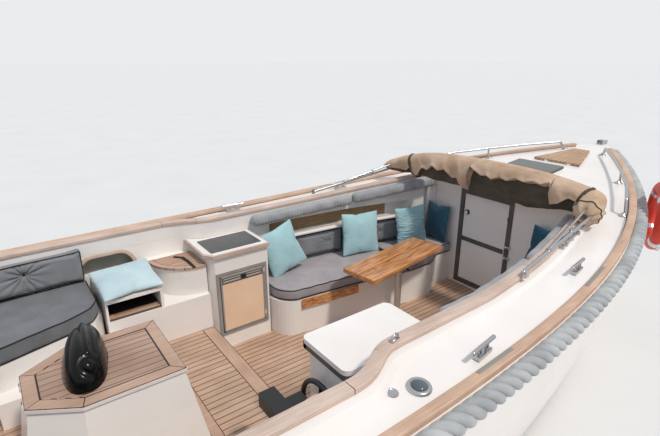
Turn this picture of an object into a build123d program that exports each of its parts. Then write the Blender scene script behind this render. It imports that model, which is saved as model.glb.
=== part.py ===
from build123d import *
import math
import os

os.makedirs("parts", exist_ok=True)

# Open launch with a cuddy, millimetres. X runs forward to the stem, Y to port, Z up.
# The origin is amidships on the centreline at the waterline.

# Driving sizes.
DECK_T = 40.0            # thickness of the moulded deck
RAIL_W = 70.0            # teak toe rail, width
RAIL_H = 32.0            # teak toe rail, height
ROPE_R = 50.0            # rope fender, radius
GAP = 0.3                # air between neighbours that do not share a face
RUN = 0.5                # running gap round a pin in its bore
SOLE_FWD = 100.0         # top of the forward cockpit sole
SOLE_AFT = 330.0         # top of the aft cockpit sole
SOLE_T = 12.0            # thickness of the teak sole
STEP_X = -360.0          # riser between the two sole levels
BULK_X = 2160.0          # aft face of the cuddy bulkhead
BULK_T = 40.0            # thickness of the bulkhead
LINER = 120.0            # thickness of the cockpit's inner moulding
LINER_END = 2000.0       # forward end of the inner moulding
BED = 60.0               # thickness of the bed under the teak sole
BEDDING = 1.0            # bedding between the hull's top edge and the deck
CAP_W = 100.0            # width of the teak coaming cap
CAP_T = 28.0             # thickness of the teak coaming cap

# Hull sections, one row per station: x, half beam at the sheer, sheer height,
# bilge half width, bilge height, keel height.
STATIONS = [
    (-4100.0, 1060.0, 1060.0, 900.0, 40.0, -40.0),
    (-3300.0, 1265.0, 1025.0, 1080.0, -60.0, -200.0),
    (-2100.0, 1415.0, 1005.0, 1220.0, -130.0, -340.0),
    (-700.0, 1475.0, 1000.0, 1270.0, -160.0, -420.0),
    (700.0, 1425.0, 1030.0, 1185.0, -150.0, -440.0),
    (1900.0, 1235.0, 1115.0, 940.0, -100.0, -420.0),
    (2800.0, 905.0, 1225.0, 570.0, 0.0, -380.0),
    (3500.0, 500.0, 1320.0, 230.0, 120.0, -260.0),
    (3900.0, 215.0, 1370.0, 75.0, 330.0, 20.0),
    (4080.0, 70.0, 1392.0, 26.0, 640.0, 420.0),
    (4130.0, 24.0, 1398.0, 12.0, 960.0, 840.0),
]

# Cockpit opening, one row per station: x, half width inside the coaming, height of the cap's top.
COAMING = [
    (-3300.0, 900.0, 1095.0),
    (-3100.0, 985.0, 1092.0),
    (-2600.0, 1090.0, 1090.0),
    (-1500.0, 1170.0, 1088.0),
    (-480.0, 1170.0, 1088.0),
    (-445.0, 1165.0, 1088.0),
    (-410.0, 1151.0, 1088.0),
    (-375.0, 1132.0, 1088.0),
    (-340.0, 1110.0, 1089.0),
    (-305.0, 1088.0, 1089.0),
    (-270.0, 1069.0, 1090.0),
    (-235.0, 1055.0, 1090.0),
    (-200.0, 1050.0, 1090.0),
    (560.0, 1040.0, 1095.0),
    (950.0, 1005.0, 1110.0),
    (1250.0, 965.0, 1128.0),
    (1600.0, 895.0, 1155.0),
    (1930.0, 820.0, 1185.0),
    (2160.0, 765.0, 1205.0),
    (2200.0, 765.0, 1208.0),
]


def value(table, column, x):
    """Straight-line value of a table's column at x."""
    for a, b in zip(table, table[1:]):
        if a[0] <= x <= b[0]:
            return a[column] + (b[column] - a[column]) * (x - a[0]) / (b[0] - a[0])
    return table[0][column] if x < table[0][0] else table[-1][column]


def cockpit_y(x):
    return value(COAMING, 1, x)


def box(x0, x1, y0, y1, z0, z1):
    return Pos((x0 + x1) / 2, (y0 + y1) / 2, (z0 + z1) / 2) * Box(x1 - x0, y1 - y0, z1 - z0)


def prism(points, z0, z1):
    """Upright prism over a closed plan outline."""
    wire = Wire.make_polygon([Vector(x, y, z0) for x, y in points], close=True)
    return extrude(Face(wire), amount=z1 - z0, dir=(0, 0, 1))


def tube(points, radius):
    """Round bar through points, with ball corners."""
    solid = None
    for a, b in zip(points, points[1:]):
        va, vb = Vector(*a), Vector(*b)
        run = vb - va
        piece = Plane(origin=va, z_dir=run) * Pos(0, 0, run.length / 2) * Cylinder(radius, run.length)
        solid = piece if solid is None else solid + piece
    for p in points[1:-1]:
        solid = solid + Pos(*p) * Sphere(radius)
    return solid


def mirrored(solid):
    return mirror(solid, about=Plane.XZ)


def round_bar(points, radius, bend):
    """Round bar swept along a path with bent corners."""
    path = FilletPolyline(*[Vector(*p) for p in points], radius=bend)
    return sweep(Plane(origin=path @ 0, z_dir=path % 0) * Circle(radius), path=path)


KNUCKLE = 30.0           # length of one hinge knuckle


def hinged(base, leaf, point, axis, places, radius):
    """Puts interleaved hinge knuckles on both pieces along one axis, each clear of the other."""
    turn = {"X": Rot(0, 90, 0), "Y": Rot(90, 0, 0), "Z": Rot(0, 0, 0)}[axis]
    along = {"X": Vector(1, 0, 0), "Y": Vector(0, 1, 0), "Z": Vector(0, 0, 1)}[axis]
    for place in places:
        for sign in (1, -1):
            at = Vector(*point) + along * (place + sign * (KNUCKLE + RUN) / 2)
            pin = Pos(at) * turn * Cylinder(radius, KNUCKLE)
            room = Pos(at) * turn * Cylinder(radius + RUN, KNUCKLE + RUN)
            if sign > 0:
                base, leaf = base - room, leaf + pin
            else:
                base, leaf = base + pin, leaf - room
    return base, leaf


def save(name, *solids):
    shapes = [s for item in solids for s in item.solids()]
    shape = shapes[0] if len(shapes) == 1 else Compound(children=shapes)
    export_step(shape, f"parts/{name}.step")


def inside_points(x0, x1, side, inset):
    """Plan points along the cockpit wall between two stations, kept inboard by inset."""
    xs = [x0] + [row[0] for row in COAMING if x0 < row[0] < x1] + [x1]
    return [(x, side * (cockpit_y(x) - inset)) for x in xs]


# Hull.
def hull_section(row):
    x, beam, sheer, bilge_y, bilge_z, keel = row
    top = sheer - DECK_T - BEDDING
    kp = Vector(x, 0, keel)
    bp, bs = Vector(x, bilge_y, bilge_z), Vector(x, -bilge_y, bilge_z)
    sp, ss = Vector(x, beam, top), Vector(x, -beam, top)
    low_p = Vector(x, bilge_y * 0.55, keel + (bilge_z - keel) * 0.36)
    low_s = Vector(x, -bilge_y * 0.55, keel + (bilge_z - keel) * 0.36)
    mid_p = Vector(x, bilge_y + (beam - bilge_y) * 0.72, bilge_z + (top - bilge_z) * 0.5)
    mid_s = Vector(x, -mid_p.Y, mid_p.Z)
    edges = [
        ThreePointArc(kp, low_p, bp), ThreePointArc(bp, mid_p, sp), Line(sp, ss),
        ThreePointArc(ss, mid_s, bs), ThreePointArc(bs, low_s, kp),
    ]
    return Face(Wire(edges))


def deck_section(row):
    x, beam, sheer = row[:3]
    low = sheer - DECK_T
    flat = min(RAIL_W + 10.0, beam * 0.4)
    rise = 60.0 * (beam / 1450.0)
    sp, ss = Vector(x, beam, sheer), Vector(x, -beam, sheer)
    fp, fs = Vector(x, beam - flat, sheer), Vector(x, flat - beam, sheer)
    edges = [
        Line(Vector(x, -beam, low), Vector(x, beam, low)), Line(Vector(x, beam, low), sp),
        Line(sp, fp), ThreePointArc(fp, Vector(x, 0, sheer + rise), fs),
        Line(fs, ss), Line(ss, Vector(x, -beam, low)),
    ]
    return Face(Wire(edges))


hull = Solid.make_loft([hull_section(r).outer_wire() for r in STATIONS])
deck = Solid.make_loft([deck_section(r).outer_wire() for r in STATIONS])

# Skeg under the after body, with the stern tube.
SKEG = [(-3350.0, -180.0), (-3250.0, -620.0), (-2900.0, -640.0), (600.0, -520.0),
        (1500.0, -400.0), (600.0, -380.0)]
skeg_face = Face(Wire.make_polygon([Vector(x, -35, z) for x, z in SKEG], close=True))
skeg = extrude(skeg_face, amount=70, dir=(0, 1, 0))
SHAFT_Z = -400.0
skeg = skeg + Pos(-3200, 0, SHAFT_Z) * Rot(0, 90, 0) * Cylinder(55, 420)
SHAFT_R = 18.0
skeg = skeg - Pos(-3385, 0, SHAFT_Z) * Rot(0, 90, 0) * Cylinder(SHAFT_R + RUN, 60)
skeg = max((skeg - hull).solids(), key=lambda s: s.volume)
save("keel_skeg", skeg)
RUDDER_X = -3720.0
STOCK_R = 20.0
hull = hull - Pos(RUDDER_X, 0, -150) * Cylinder(STOCK_R + RUN, 190)

# Cockpit wells with two levels of floor.
WALL_FWD = inside_points(STEP_X, BULK_X + BULK_T, 1, 0)
WALL_AFT = inside_points(-3300.0, STEP_X, 1, 0)
FLOOR_FWD, FLOOR_AFT = SOLE_FWD - SOLE_T, SOLE_AFT - SOLE_T
HIGH = 1600.0            # above every piece


def both_sides(points):
    return points + [(x, -y) for x, y in reversed(points)]


def side_band(x0, x1, z0):
    """Upright band that lines the port cockpit wall."""
    inner = inside_points(x0, x1, 1, 0)
    return prism(inner + [(x, y + LINER) for x, y in reversed(inner)], z0, HIGH)


lining = side_band(-3300.0, STEP_X - BED, FLOOR_AFT - BED)
lining = lining + side_band(STEP_X - BED, LINER_END, FLOOR_FWD - BED)
lining = lining & hull
bed = prism(both_sides(WALL_AFT), FLOOR_AFT - BED, FLOOR_AFT)
bed = bed + prism(both_sides(inside_points(STEP_X - BED, STEP_X, 1, 0)), FLOOR_FWD - BED, FLOOR_AFT)
bed = bed + prism(both_sides(WALL_FWD), FLOOR_FWD - BED, FLOOR_FWD)
well_fwd = prism(both_sides(WALL_FWD), FLOOR_FWD, HIGH)
well_aft = prism(both_sides(WALL_AFT), FLOOR_AFT, HIGH)
hull = hull - well_fwd - well_aft - bed - lining - mirrored(lining)

# Cuddy space ahead of the bulkhead, and the engine well under the box.
CUDDY = [(BULK_X + BULK_T, 690.0), (2800.0, 470.0), (3050.0, 350.0)]
cuddy = prism(both_sides(CUDDY), 160, 1400)
ENGINE_WELL = (-1560.0, -940.0, -280.0, 280.0)   # its plan
ENGINE_LOW = -260.0      # its bottom
engine_room = box(*ENGINE_WELL, ENGINE_LOW, SOLE_AFT)
hull = hull - cuddy - engine_room
save("sole_bed", bed - engine_room)

# Open shelf let into the port cockpit wall behind the dinette, and the arched niche aft of it.
SHELF_Z0 = 790.0
SHELF = (360.0, 1900.0, SHELF_Z0, 930.0)
SHELF_DEEP = 90.0
shelf_front = inside_points(SHELF[0], SHELF[1], 1, 2)
shelf_back = [(x, y + SHELF_DEEP) for x, y in reversed(shelf_front)]
shelf_cut = prism(shelf_front + shelf_back, SHELF[2], SHELF[3])
NICHE = (-1160.0, -770.0, SHELF_Z0, 930.0)
niche_face = Face(Wire.make_polygon([
    Vector(NICHE[0], 1160, NICHE[2]), Vector(NICHE[0], 1160, NICHE[2] + 60),
    Vector(NICHE[0] + 60, 1160, NICHE[3]), Vector(NICHE[1] - 60, 1160, NICHE[3]),
    Vector(NICHE[1], 1160, NICHE[2] + 60), Vector(NICHE[1], 1160, NICHE[2])], close=True))
niche_cut = extrude(niche_face, amount=80, dir=(0, 1, 0))
split = box(-3400, 2100, 0, 1600, -200, SHELF_Z0)
save("cockpit_lining", lining & split, mirrored(lining))
save("cockpit_lining_upper", lining - split - shelf_cut - niche_cut)
LOCKER = [(3190.0, 200.0), (3640.0, 60.0)]
locker = prism(both_sides(LOCKER), 1060, 1600)
hull = hull - locker

# The hull moulding: its two ends in one piece each, and the two sides of the cockpit.
WELL_END = BULK_X + BULK_T
WIDE = 1700.0            # outboard of every piece
LOW = -900.0             # below every piece
side_hull = hull & box(-3300.0, WELL_END, -WIDE, WIDE, LOW, HIGH)
stern_hull = hull & box(-4300, -3300.0, -WIDE, WIDE, LOW, HIGH)
bow_hull = hull & box(WELL_END, 4300, -WIDE, WIDE, LOW, HIGH)
save("hull", stern_hull, bow_hull)
save("hull_side_port", side_hull & box(-3300.0, WELL_END, 0, WIDE, LOW, HIGH))
save("hull_side_starboard", side_hull & box(-3300.0, WELL_END, -WIDE, 0, LOW, HIGH))

# Deck with its raised coaming.
def strip(stations, section):
    """Ruled solid through one closed quad per station."""
    wires = [Wire.make_polygon([Vector(*p) for p in section(s)], close=True) for s in stations]
    return Solid.make_loft(wires, ruled=True)


def coaming_quad(side):
    def quad(row):
        x, y, top = row
        sheer = value(STATIONS, 2, x)
        return [(x, side * y, sheer - 30), (x, side * (y + CAP_W + 60), sheer - 30),
                (x, side * (y + CAP_W), top - CAP_T), (x, side * y, top - CAP_T)]
    return quad


coaming = strip(COAMING, coaming_quad(1))
deck = deck + coaming + mirrored(coaming)
stern_ridge = box(-3300 - CAP_W, -3300, -900 - CAP_W, 900 + CAP_W, 1000, COAMING[0][2] - CAP_T)
deck = deck + stern_ridge
deck = deck - well_fwd - well_aft
SKYLIGHT = (2430.0, 2870.0, 230.0)     # aft edge, forward edge, half width
deck = deck - box(SKYLIGHT[0] + 30, SKYLIGHT[1] - 30, -SKYLIGHT[2] + 30, SKYLIGHT[2] - 30, 1100, 1500)
deck = deck - locker


def cap_quad(side):
    def quad(row):
        x, y, top = row
        return [(x, side * (y - 8), top - CAP_T), (x, side * (y + CAP_W + 6), top - CAP_T),
                (x, side * (y + CAP_W + 6), top), (x, side * (y - 8), top)]
    return quad


cap = strip(COAMING[:-1], cap_quad(1))
stern_cap = box(-3300 - CAP_W - 6, -3300 + 8, -892, 892, COAMING[0][2] - CAP_T, COAMING[0][2])
corner = box(-3300 - CAP_W - 6, -3300, 892, 900 + CAP_W + 6, COAMING[0][2] - CAP_T, COAMING[0][2])
save("coaming_cap", (cap + mirrored(cap) + stern_cap + corner + mirrored(corner)) - deck)

# Toe rail and rope fender.
def rail_section(side):
    def wire(row):
        x, beam, sheer = row[:3]
        width = min(RAIL_W, beam * 0.35)
        y0, y1 = side * (beam - 5), side * (beam - 5 - width)
        z0, z1 = sheer - 20, sheer + RAIL_H
        points = [(x, y0, z0), (x, y0, z1), (x, y1, z1), (x, y1, z0)]
        return Wire.make_polygon([Vector(*p) for p in points], close=True)
    return wire


rail_rows = STATIONS[:-2]
rail = Solid.make_loft([rail_section(1)(r) for r in rail_rows]) - deck
rail = max(rail.solids(), key=lambda s: s.volume)
save("toe_rail", rail, mirrored(rail))

ROPE_DROP = 62.0         # rope centre below the sheer
sheer_line = Spline([Vector(r[0], r[1], r[2] - ROPE_DROP) for r in STATIONS[:-1]])
rope_points = []
ROPE_STEPS = 22
for i in range(ROPE_STEPS + 1):
    t = 0.003 + 0.987 * i / ROPE_STEPS
    p, d = sheer_line.position_at(t), sheer_line.tangent_at(t)
    n = Vector(-d.Y, d.X, 0).normalized()
    rope_points.append(p + n * (ROPE_R - 3))
rope_path = Spline(rope_points)
rope = sweep(Plane(origin=rope_path @ 0, z_dir=rope_path % 0) * Circle(ROPE_R), path=rope_path)
rope = rope - hull - deck
rope = max(rope.solids(), key=lambda s: s.volume)
stern_spot = Pos(STATIONS[0][0] - ROPE_R + 3, 0, STATIONS[0][2] - ROPE_DROP)
stern_rope = stern_spot * Rot(90, 0, 0) * Cylinder(ROPE_R, 1960)
stern_rope = max((stern_rope - hull - deck).solids(), key=lambda s: s.volume)
save("rope_fender", rope, mirrored(rope), stern_rope)

# Teak sole.
sole_fwd = prism(both_sides(inside_points(STEP_X, BULK_X, 1, GAP)), SOLE_FWD - SOLE_T, SOLE_FWD)
sole_aft = prism(both_sides(inside_points(-3300.0 + GAP, STEP_X, 1, GAP)), SOLE_AFT - SOLE_T, SOLE_AFT)
sole_aft = sole_aft - box(*ENGINE_WELL, 0, 400)
save("cockpit_sole", sole_fwd, sole_aft)

# Bulkhead, door frame, door.
DOOR = (-205.0, 375.0, 125.0, 1120.0)    # outside of the frame: starboard, port, bottom, top
FRAME_W = 45.0
bulk_half = cockpit_y(BULK_X) - GAP
bulkhead = box(BULK_X, BULK_X + BULK_T, -bulk_half, bulk_half, SOLE_FWD - SOLE_T, 1200)
bulkhead = bulkhead - box(BULK_X - 5, BULK_X + BULK_T + 5, *DOOR)
save("bulkhead", bulkhead)
frame_x = (BULK_X - 8, BULK_X + BULK_T)
frame = box(*frame_x, *DOOR) - box(frame_x[0] - 5, frame_x[1] + 5, DOOR[0] + FRAME_W, DOOR[1] - FRAME_W,
                                   DOOR[2] + FRAME_W, DOOR[3] - FRAME_W)
DOOR_GAP = 5.0
leaf = [DOOR[0] + FRAME_W + DOOR_GAP, DOOR[1] - FRAME_W - DOOR_GAP, DOOR[2] + FRAME_W + DOOR_GAP,
        DOOR[3] - FRAME_W - DOOR_GAP]
door = box(BULK_X, BULK_X + 20, *leaf)
knob = Pos(BULK_X - 12, leaf[1] - 40, 890) * Rot(0, 90, 0) * Cylinder(16, 24)
frame, door = hinged(frame, door + knob, (BULK_X - 2, DOOR[0] + FRAME_W + 2, 0), "Z", (300, 950), 7)
save("door_frame", frame)
save("cuddy_door", door)

# Galley module with its fridge (port).
GALLEY = (-350.0, 140.0, 690.0, 900.0)   # aft, forward, inboard face, top
CORNER = (38.0, 60.0)    # rounded-off corner of the galley towards the steps, along x and y


def corner_cut(x, y, grow):
    return [(x, y + CORNER[1] + grow), (x + CORNER[0] + grow, y)]


galley_plan = corner_cut(GALLEY[0], GALLEY[2], 0) + [(GALLEY[1], GALLEY[2])]
galley_wall = inside_points(GALLEY[0], GALLEY[1], 1, GAP)
galley = prism(galley_plan + list(reversed(galley_wall)), SOLE_FWD, GALLEY[3])
FRIDGE = (-310.0, 120.0, 225.0, 765.0)   # frame outside: aft, forward, bottom, top
FRIDGE_W = 25.0
hole = (FRIDGE[0] + FRIDGE_W, FRIDGE[1] - FRIDGE_W, FRIDGE[2] + FRIDGE_W, FRIDGE[3] - FRIDGE_W)
galley = galley - box(hole[0], hole[1], GALLEY[2] - 5, 980, hole[2], hole[3])
save("galley_module", galley)
fridge_frame = box(FRIDGE[0], FRIDGE[1], GALLEY[2] - 10, GALLEY[2], FRIDGE[2], FRIDGE[3])
fridge_frame = fridge_frame - box(hole[0], hole[1], GALLEY[2] - 15, GALLEY[2] + 5, hole[2], hole[3])
fridge_door = box(hole[0] + 5, hole[1] - 5, GALLEY[2] - 14, GALLEY[2] + 16, hole[2] + 5, hole[3] - 5)
fridge_axis = (hole[1] - 3, GALLEY[2] - 14, 0)
fridge_frame, fridge_door = hinged(fridge_frame, fridge_door, fridge_axis, "Z", (300, 690), 7)
save("fridge_frame", fridge_frame)
save("fridge_door", fridge_door)
top_wall = inside_points(GALLEY[0] - 30, GALLEY[1] + 8, 1, GAP)
worktop = prism(corner_cut(GALLEY[0] - 30, GALLEY[2] - 25, 15) + [(GALLEY[1] + 8, GALLEY[2] - 25)]
                + list(reversed(top_wall)), GALLEY[3], GALLEY[3] + 28)
save("galley_worktop", worktop)
rim_wall = inside_points(GALLEY[0] - 18, GALLEY[1] - 4, 1, 12)
rim = prism(corner_cut(GALLEY[0] - 18, GALLEY[2] - 13, 13) + [(GALLEY[1] - 4, GALLEY[2] - 13)]
            + list(reversed(rim_wall)), GALLEY[3] + 28, GALLEY[3] + 34)
save("worktop_rim", rim)
hob = box(GALLEY[0] + 30, GALLEY[1] - 40, GALLEY[2] + 25, 1000, GALLEY[3] + 34, GALLEY[3] + 40)
save("worktop_hob", hob)

# Boarding steps, port and starboard.
STEPS = (-1090.0, -362.0, 700.0, 620.0)  # aft, forward, inboard face, height of the low tread
SHELF_Z = (760.0, 785.0)
ROUND_P = (-362.0, 1065.0, 330.0)        # port quarter-round step: corner x, corner y, radius
ROUND_S = (-500.0, -1165.0, 240.0)       # starboard one
STEP_TOP = 832.0
TREAD_T = 16.0


def wall_block(x0, x1, y_in, z0, z1, side=1, inset=GAP):
    plan = [(x0, side * y_in), (x1, side * y_in)] + list(reversed(inside_points(x0, x1, side, inset)))
    return prism(plan, z0, z1)


def quarter(corner_x, corner_y, radius, z0, z1):
    side = 1 if corner_y > 0 else -1
    disc = Pos(corner_x, corner_y, (z0 + z1) / 2) * Cylinder(radius, z1 - z0)
    y0, y1 = sorted((corner_y, corner_y - side * radius))
    return disc & box(corner_x - radius, corner_x, y0, y1, z0, z1)


steps = wall_block(STEPS[0], STEPS[1], STEPS[2], SOLE_AFT, STEPS[3])
steps = steps + wall_block(STEPS[0], -705, STEPS[2], *SHELF_Z)
steps = steps + wall_block(STEPS[0], STEPS[0] + 15, STEPS[2] + 5, STEPS[3], SHELF_Z[0])
steps = steps + wall_block(-725, -705, STEPS[2] + 5, STEPS[3], SHELF_Z[0])
steps = steps + quarter(*ROUND_P, STEPS[3], STEP_TOP)
steps = steps + wall_block(-692, STEPS[1], ROUND_P[1], STEPS[3], STEP_TOP)
save("boarding_steps_port", steps)
steps_s = wall_block(-720, -500, 1030, SOLE_AFT, STEP_TOP - 42, side=-1)
steps_s = steps_s + quarter(*ROUND_S, STEP_TOP - 42, STEP_TOP)
save("boarding_step_starboard", steps_s)
tread_low = wall_block(STEPS[0] + 15 + GAP, -725 - GAP, STEPS[2] + 20, STEPS[3], STEPS[3] + TREAD_T,
                       inset=8)
tread_p = quarter(ROUND_P[0] - 2, ROUND_P[1], ROUND_P[2] + 6, STEP_TOP, STEP_TOP + TREAD_T)
tread_s = quarter(ROUND_S[0], ROUND_S[1], ROUND_S[2] + 6, STEP_TOP, STEP_TOP + TREAD_T)
save("step_treads", tread_low, tread_p, tread_s)

# After seats.
AFT_SEAT_Z = (670.0, 790.0)
SEAT_FRONT = [(-1300.0, 620.0), (-1700.0, 500.0), (-2750.0, 470.0)]
PORT_END, STBD_END, STERN_FRONT = -1105.0, -1400.0, -2750.0


def seat_ring(grow, z0, z1, inset):
    port = [(PORT_END, 800.0), (-1160.0, 700.0)] + SEAT_FRONT[:-1]
    port = [(x, y - grow) for x, y in port] + [(STERN_FRONT + grow, 470.0 - grow)]
    stbd = [(STBD_END, -640.0 + grow), (-1700.0, -500.0 + grow), (STERN_FRONT + grow, -470.0 + grow)]
    outer_p = inside_points(-3300.0 + inset, PORT_END, 1, inset)
    outer_s = inside_points(-3300.0 + inset, STBD_END, -1, inset)
    return prism(port + list(reversed(stbd)) + list(reversed(outer_s)) + outer_p, z0, z1)


seat_base = seat_ring(0.0, SOLE_AFT, AFT_SEAT_Z[0], GAP)
LEDGE = (-1750.0, -1010.0, 385.0, 500.0)
ledge = prism([(LEDGE[1], LEDGE[2]), (LEDGE[1], 640.0), (-1110, 800), (-1300, 625), (-1700, 505),
               (LEDGE[0], 500.0), (LEDGE[0], LEDGE[2])], SOLE_AFT, LEDGE[3])
save("aft_seat_base", (seat_base + ledge) - steps)
cushion_ring = seat_ring(25.0, AFT_SEAT_Z[0], AFT_SEAT_Z[1], 4.0)
stern_part = cushion_ring & box(-3400, -2752, -1300, 1300, 600, 900)
port_part = cushion_ring & box(-2748, -1000, 0, 1300, 600, 900)
stbd_part = cushion_ring & box(-2748, -1000, -1300, 0, 600, 900)
save("aft_seat_cushions", stern_part, port_part, stbd_part)

BACK_Z = (AFT_SEAT_Z[1] + GAP, 1050.0)


def back_pad(x0, x1, side, z0, z1, near=GAP, far=90.0):
    outer = inside_points(x0, x1, side, near)
    inner = inside_points(x0, x1, side, far)
    return prism(outer + list(reversed(inner)), z0, z1)


AFT_BACKS = [(-1950.0, -1110.0, 1), (-2800.0, -1965.0, 1), (-2090.0, -1405.0, -1), (-2800.0, -2105.0, -1)]
backs = [back_pad(x0, x1, side, *BACK_Z) for x0, x1, side in AFT_BACKS]
backs.append(box(-3300 + GAP, -3215, -780, 780, *BACK_Z))
save("aft_back_cushions", *backs)

# Engine box, lid, cowl, engine.
BOX_TOP = [(-900.0, 285.0), (-1385.0, 285.0), (-1605.0, 145.0)]
BOX_TOP_Z = 758.0
FLARE = 75.0
BOX_WALL = 18.0


def box_ring(grow_x, grow_y, z):
    (xf, yf), (xk, yk), (xa, ya) = BOX_TOP
    pts = [(xf + grow_x, yf + grow_y), (xk - grow_x * 0.4, yk + grow_y), (xa - grow_x, ya + grow_y)]
    pts = pts + [(x, -y) for x, y in reversed(pts)]
    return Wire.make_polygon([Vector(x, y, z) for x, y in pts], close=True)


shell = Solid.make_loft([box_ring(FLARE, FLARE, SOLE_AFT), box_ring(0, 0, BOX_TOP_Z)], ruled=True)
core = Solid.make_loft([box_ring(FLARE - BOX_WALL, FLARE - BOX_WALL, SOLE_AFT - 5),
                        box_ring(-BOX_WALL, -BOX_WALL, BOX_TOP_Z + 5)], ruled=True)
LID_Z = (BOX_TOP_Z + 5, BOX_TOP_Z + 27)
lid = extrude(Face(box_ring(6, 6, LID_Z[0])), amount=LID_Z[1] - LID_Z[0], dir=(0, 0, 1))
shell, lid = hinged(shell - core, lid, (BOX_TOP[2][0] - 6, 0, LID_Z[0]), "Y", (-80, 80), 10)
save("engine_box", shell)
save("engine_box_lid", lid)
COWL = (-1310.0, 70.0, 105.0, 275.0, 150.0)   # centre x, centre y, half width, half length, height
ball = scale(Sphere(1.0), by=(COWL[2], COWL[3], COWL[4]))
cowl = Pos(COWL[0], COWL[1], LID_Z[1]) * Rot(0, 0, -10) * ball
cowl = cowl - box(-2000, -600, -600, 600, 0, LID_Z[1])
save("engine_air_cowl", cowl)
save("engine_block", box(-1530, -970, -235, 235, ENGINE_LOW, 420))

# Helm console (starboard).
CONSOLE = (-345.0, 210.0, -640.0, 870.0)
console_wall = inside_points(CONSOLE[0], CONSOLE[1], -1, GAP)
console = prism([(CONSOLE[0], CONSOLE[2]), (CONSOLE[1], CONSOLE[2])] + list(reversed(console_wall)),
                SOLE_FWD, CONSOLE[3])
console = console - box(CONSOLE[0] + 22, CONSOLE[1] - 22, -1000, CONSOLE[2] - 22, 480, 900)
WHEEL = (-412.0, -830.0, 630.0, 160.0)   # plane x, centre y, centre z, ring radius
wheel_boss = Pos(-362, WHEEL[1], WHEEL[2]) * Rot(0, 90, 0)
WHEEL_PIN = 10.0         # radius of the steering shaft
console = console + wheel_boss * Cylinder(24, 34) - wheel_boss * Cylinder(WHEEL_PIN + RUN, 40)
LID_C = (-375.0, 240.0, -985.0, -600.0)
skirt = box(LID_C[0] + 22, LID_C[1] - 22, LID_C[2] + 10, LID_C[3] - 22, 876, 912)
save("console_lid_frame", skirt)
console_top = box(*LID_C, 912, 940)
console_top = fillet(console_top.edges().filter_by(Axis.Z), 42)
LID_HINGES = (-200.0, 200.0)
lid_mid = (LID_C[0] + LID_C[1]) / 2
for dx in LID_HINGES:
    x0, x1 = lid_mid + dx - 30, lid_mid + dx - 2
    console = console + box(x0, x1, LID_C[2] - 22, LID_C[2] + 4, CONSOLE[3] - 12, 906)
console, console_top = hinged(console, console_top, (lid_mid, LID_C[2], 912), "X", LID_HINGES, 8)
save("helm_console", console)
save("console_lid", console_top)
ring = Pos(WHEEL[0], WHEEL[1], WHEEL[2]) * Rot(0, 90, 0) * Torus(WHEEL[3], 14)
wheel = ring + Pos(-398, WHEEL[1], WHEEL[2]) * Rot(0, 90, 0) * Cylinder(26, 36)
wheel = wheel + Pos(-374, WHEEL[1], WHEEL[2]) * Rot(0, 90, 0) * Cylinder(WHEEL_PIN, 30)
for k in range(3):
    a = math.radians(90 + 120 * k)
    tip = (WHEEL[0] + 0.0, WHEEL[1] + WHEEL[3] * math.cos(a), WHEEL[2] + WHEEL[3] * math.sin(a))
    wheel = wheel + tube([(WHEEL[0], WHEEL[1], WHEEL[2]), tip], 9)
save("steering_wheel", wheel)
LEVER = (-610.0, -1006.0, 640.0)
LEVER_PIN = 8.0
lever_axis = Pos(LEVER[0], -1024, LEVER[2]) * Rot(90, 0, 0)
plate = box(-660, -560, -1030, -1022, 580, 700) - lever_axis * Cylinder(LEVER_PIN + RUN, 20)
save("throttle_plate", plate)
lever = Pos(*LEVER) * Rot(90, 0, 0) * Cylinder(18, 12)
lever = lever + Pos(LEVER[0], -1018, LEVER[2]) * Rot(90, 0, 0) * Cylinder(LEVER_PIN, 22)
lever = lever + tube([LEVER, (LEVER[0], LEVER[1] + 4, 725.0)], 8)
lever = lever + Pos(LEVER[0], LEVER[1] + 4, 730) * Sphere(15)
save("throttle_lever", lever)
SEAT_H = (655.0, 700.0)
seat = box(-560, -455, -960, -710, *SEAT_H) + box(-650, -560, -960, -620, 640, 722)
seat = seat + Pos(-570, -830, (SOLE_AFT + SEAT_H[0]) / 2) * Cylinder(28, SEAT_H[0] - SOLE_AFT)
seat = seat + Pos(-570, -830, SOLE_AFT + 6) * Cylinder(80, 12)
save("helm_seat", seat)

# Dinette (port) and starboard bench.
BENCH_Z = 420.0
CUSH_Z = 530.0
ROUND_D = (330.0, 720.0, 180.0, 215.0)   # rounded after corner: centre x, centre y, half lengths
ROUND_STEPS = 9
PORT_FRONT = []
for i in range(ROUND_STEPS + 1):
    t = math.pi / 2 * i / ROUND_STEPS
    PORT_FRONT.append((ROUND_D[0] - ROUND_D[2] * math.cos(t), ROUND_D[1] - ROUND_D[3] * math.sin(t)))
PORT_FRONT += [(900.0, 440.0), (1450.0, 345.0), (1750.0, 345.0), (1950.0, 450.0), (BULK_X - GAP, 450.0)]


def bench(front, side, z0, z1, inset, grow=0.0):
    plan = [(x, side * (y - grow)) for x, y in front]
    plan = plan + list(reversed(inside_points(front[0][0], front[-1][0], side, inset)))
    return prism(plan, z0, z1)


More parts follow.
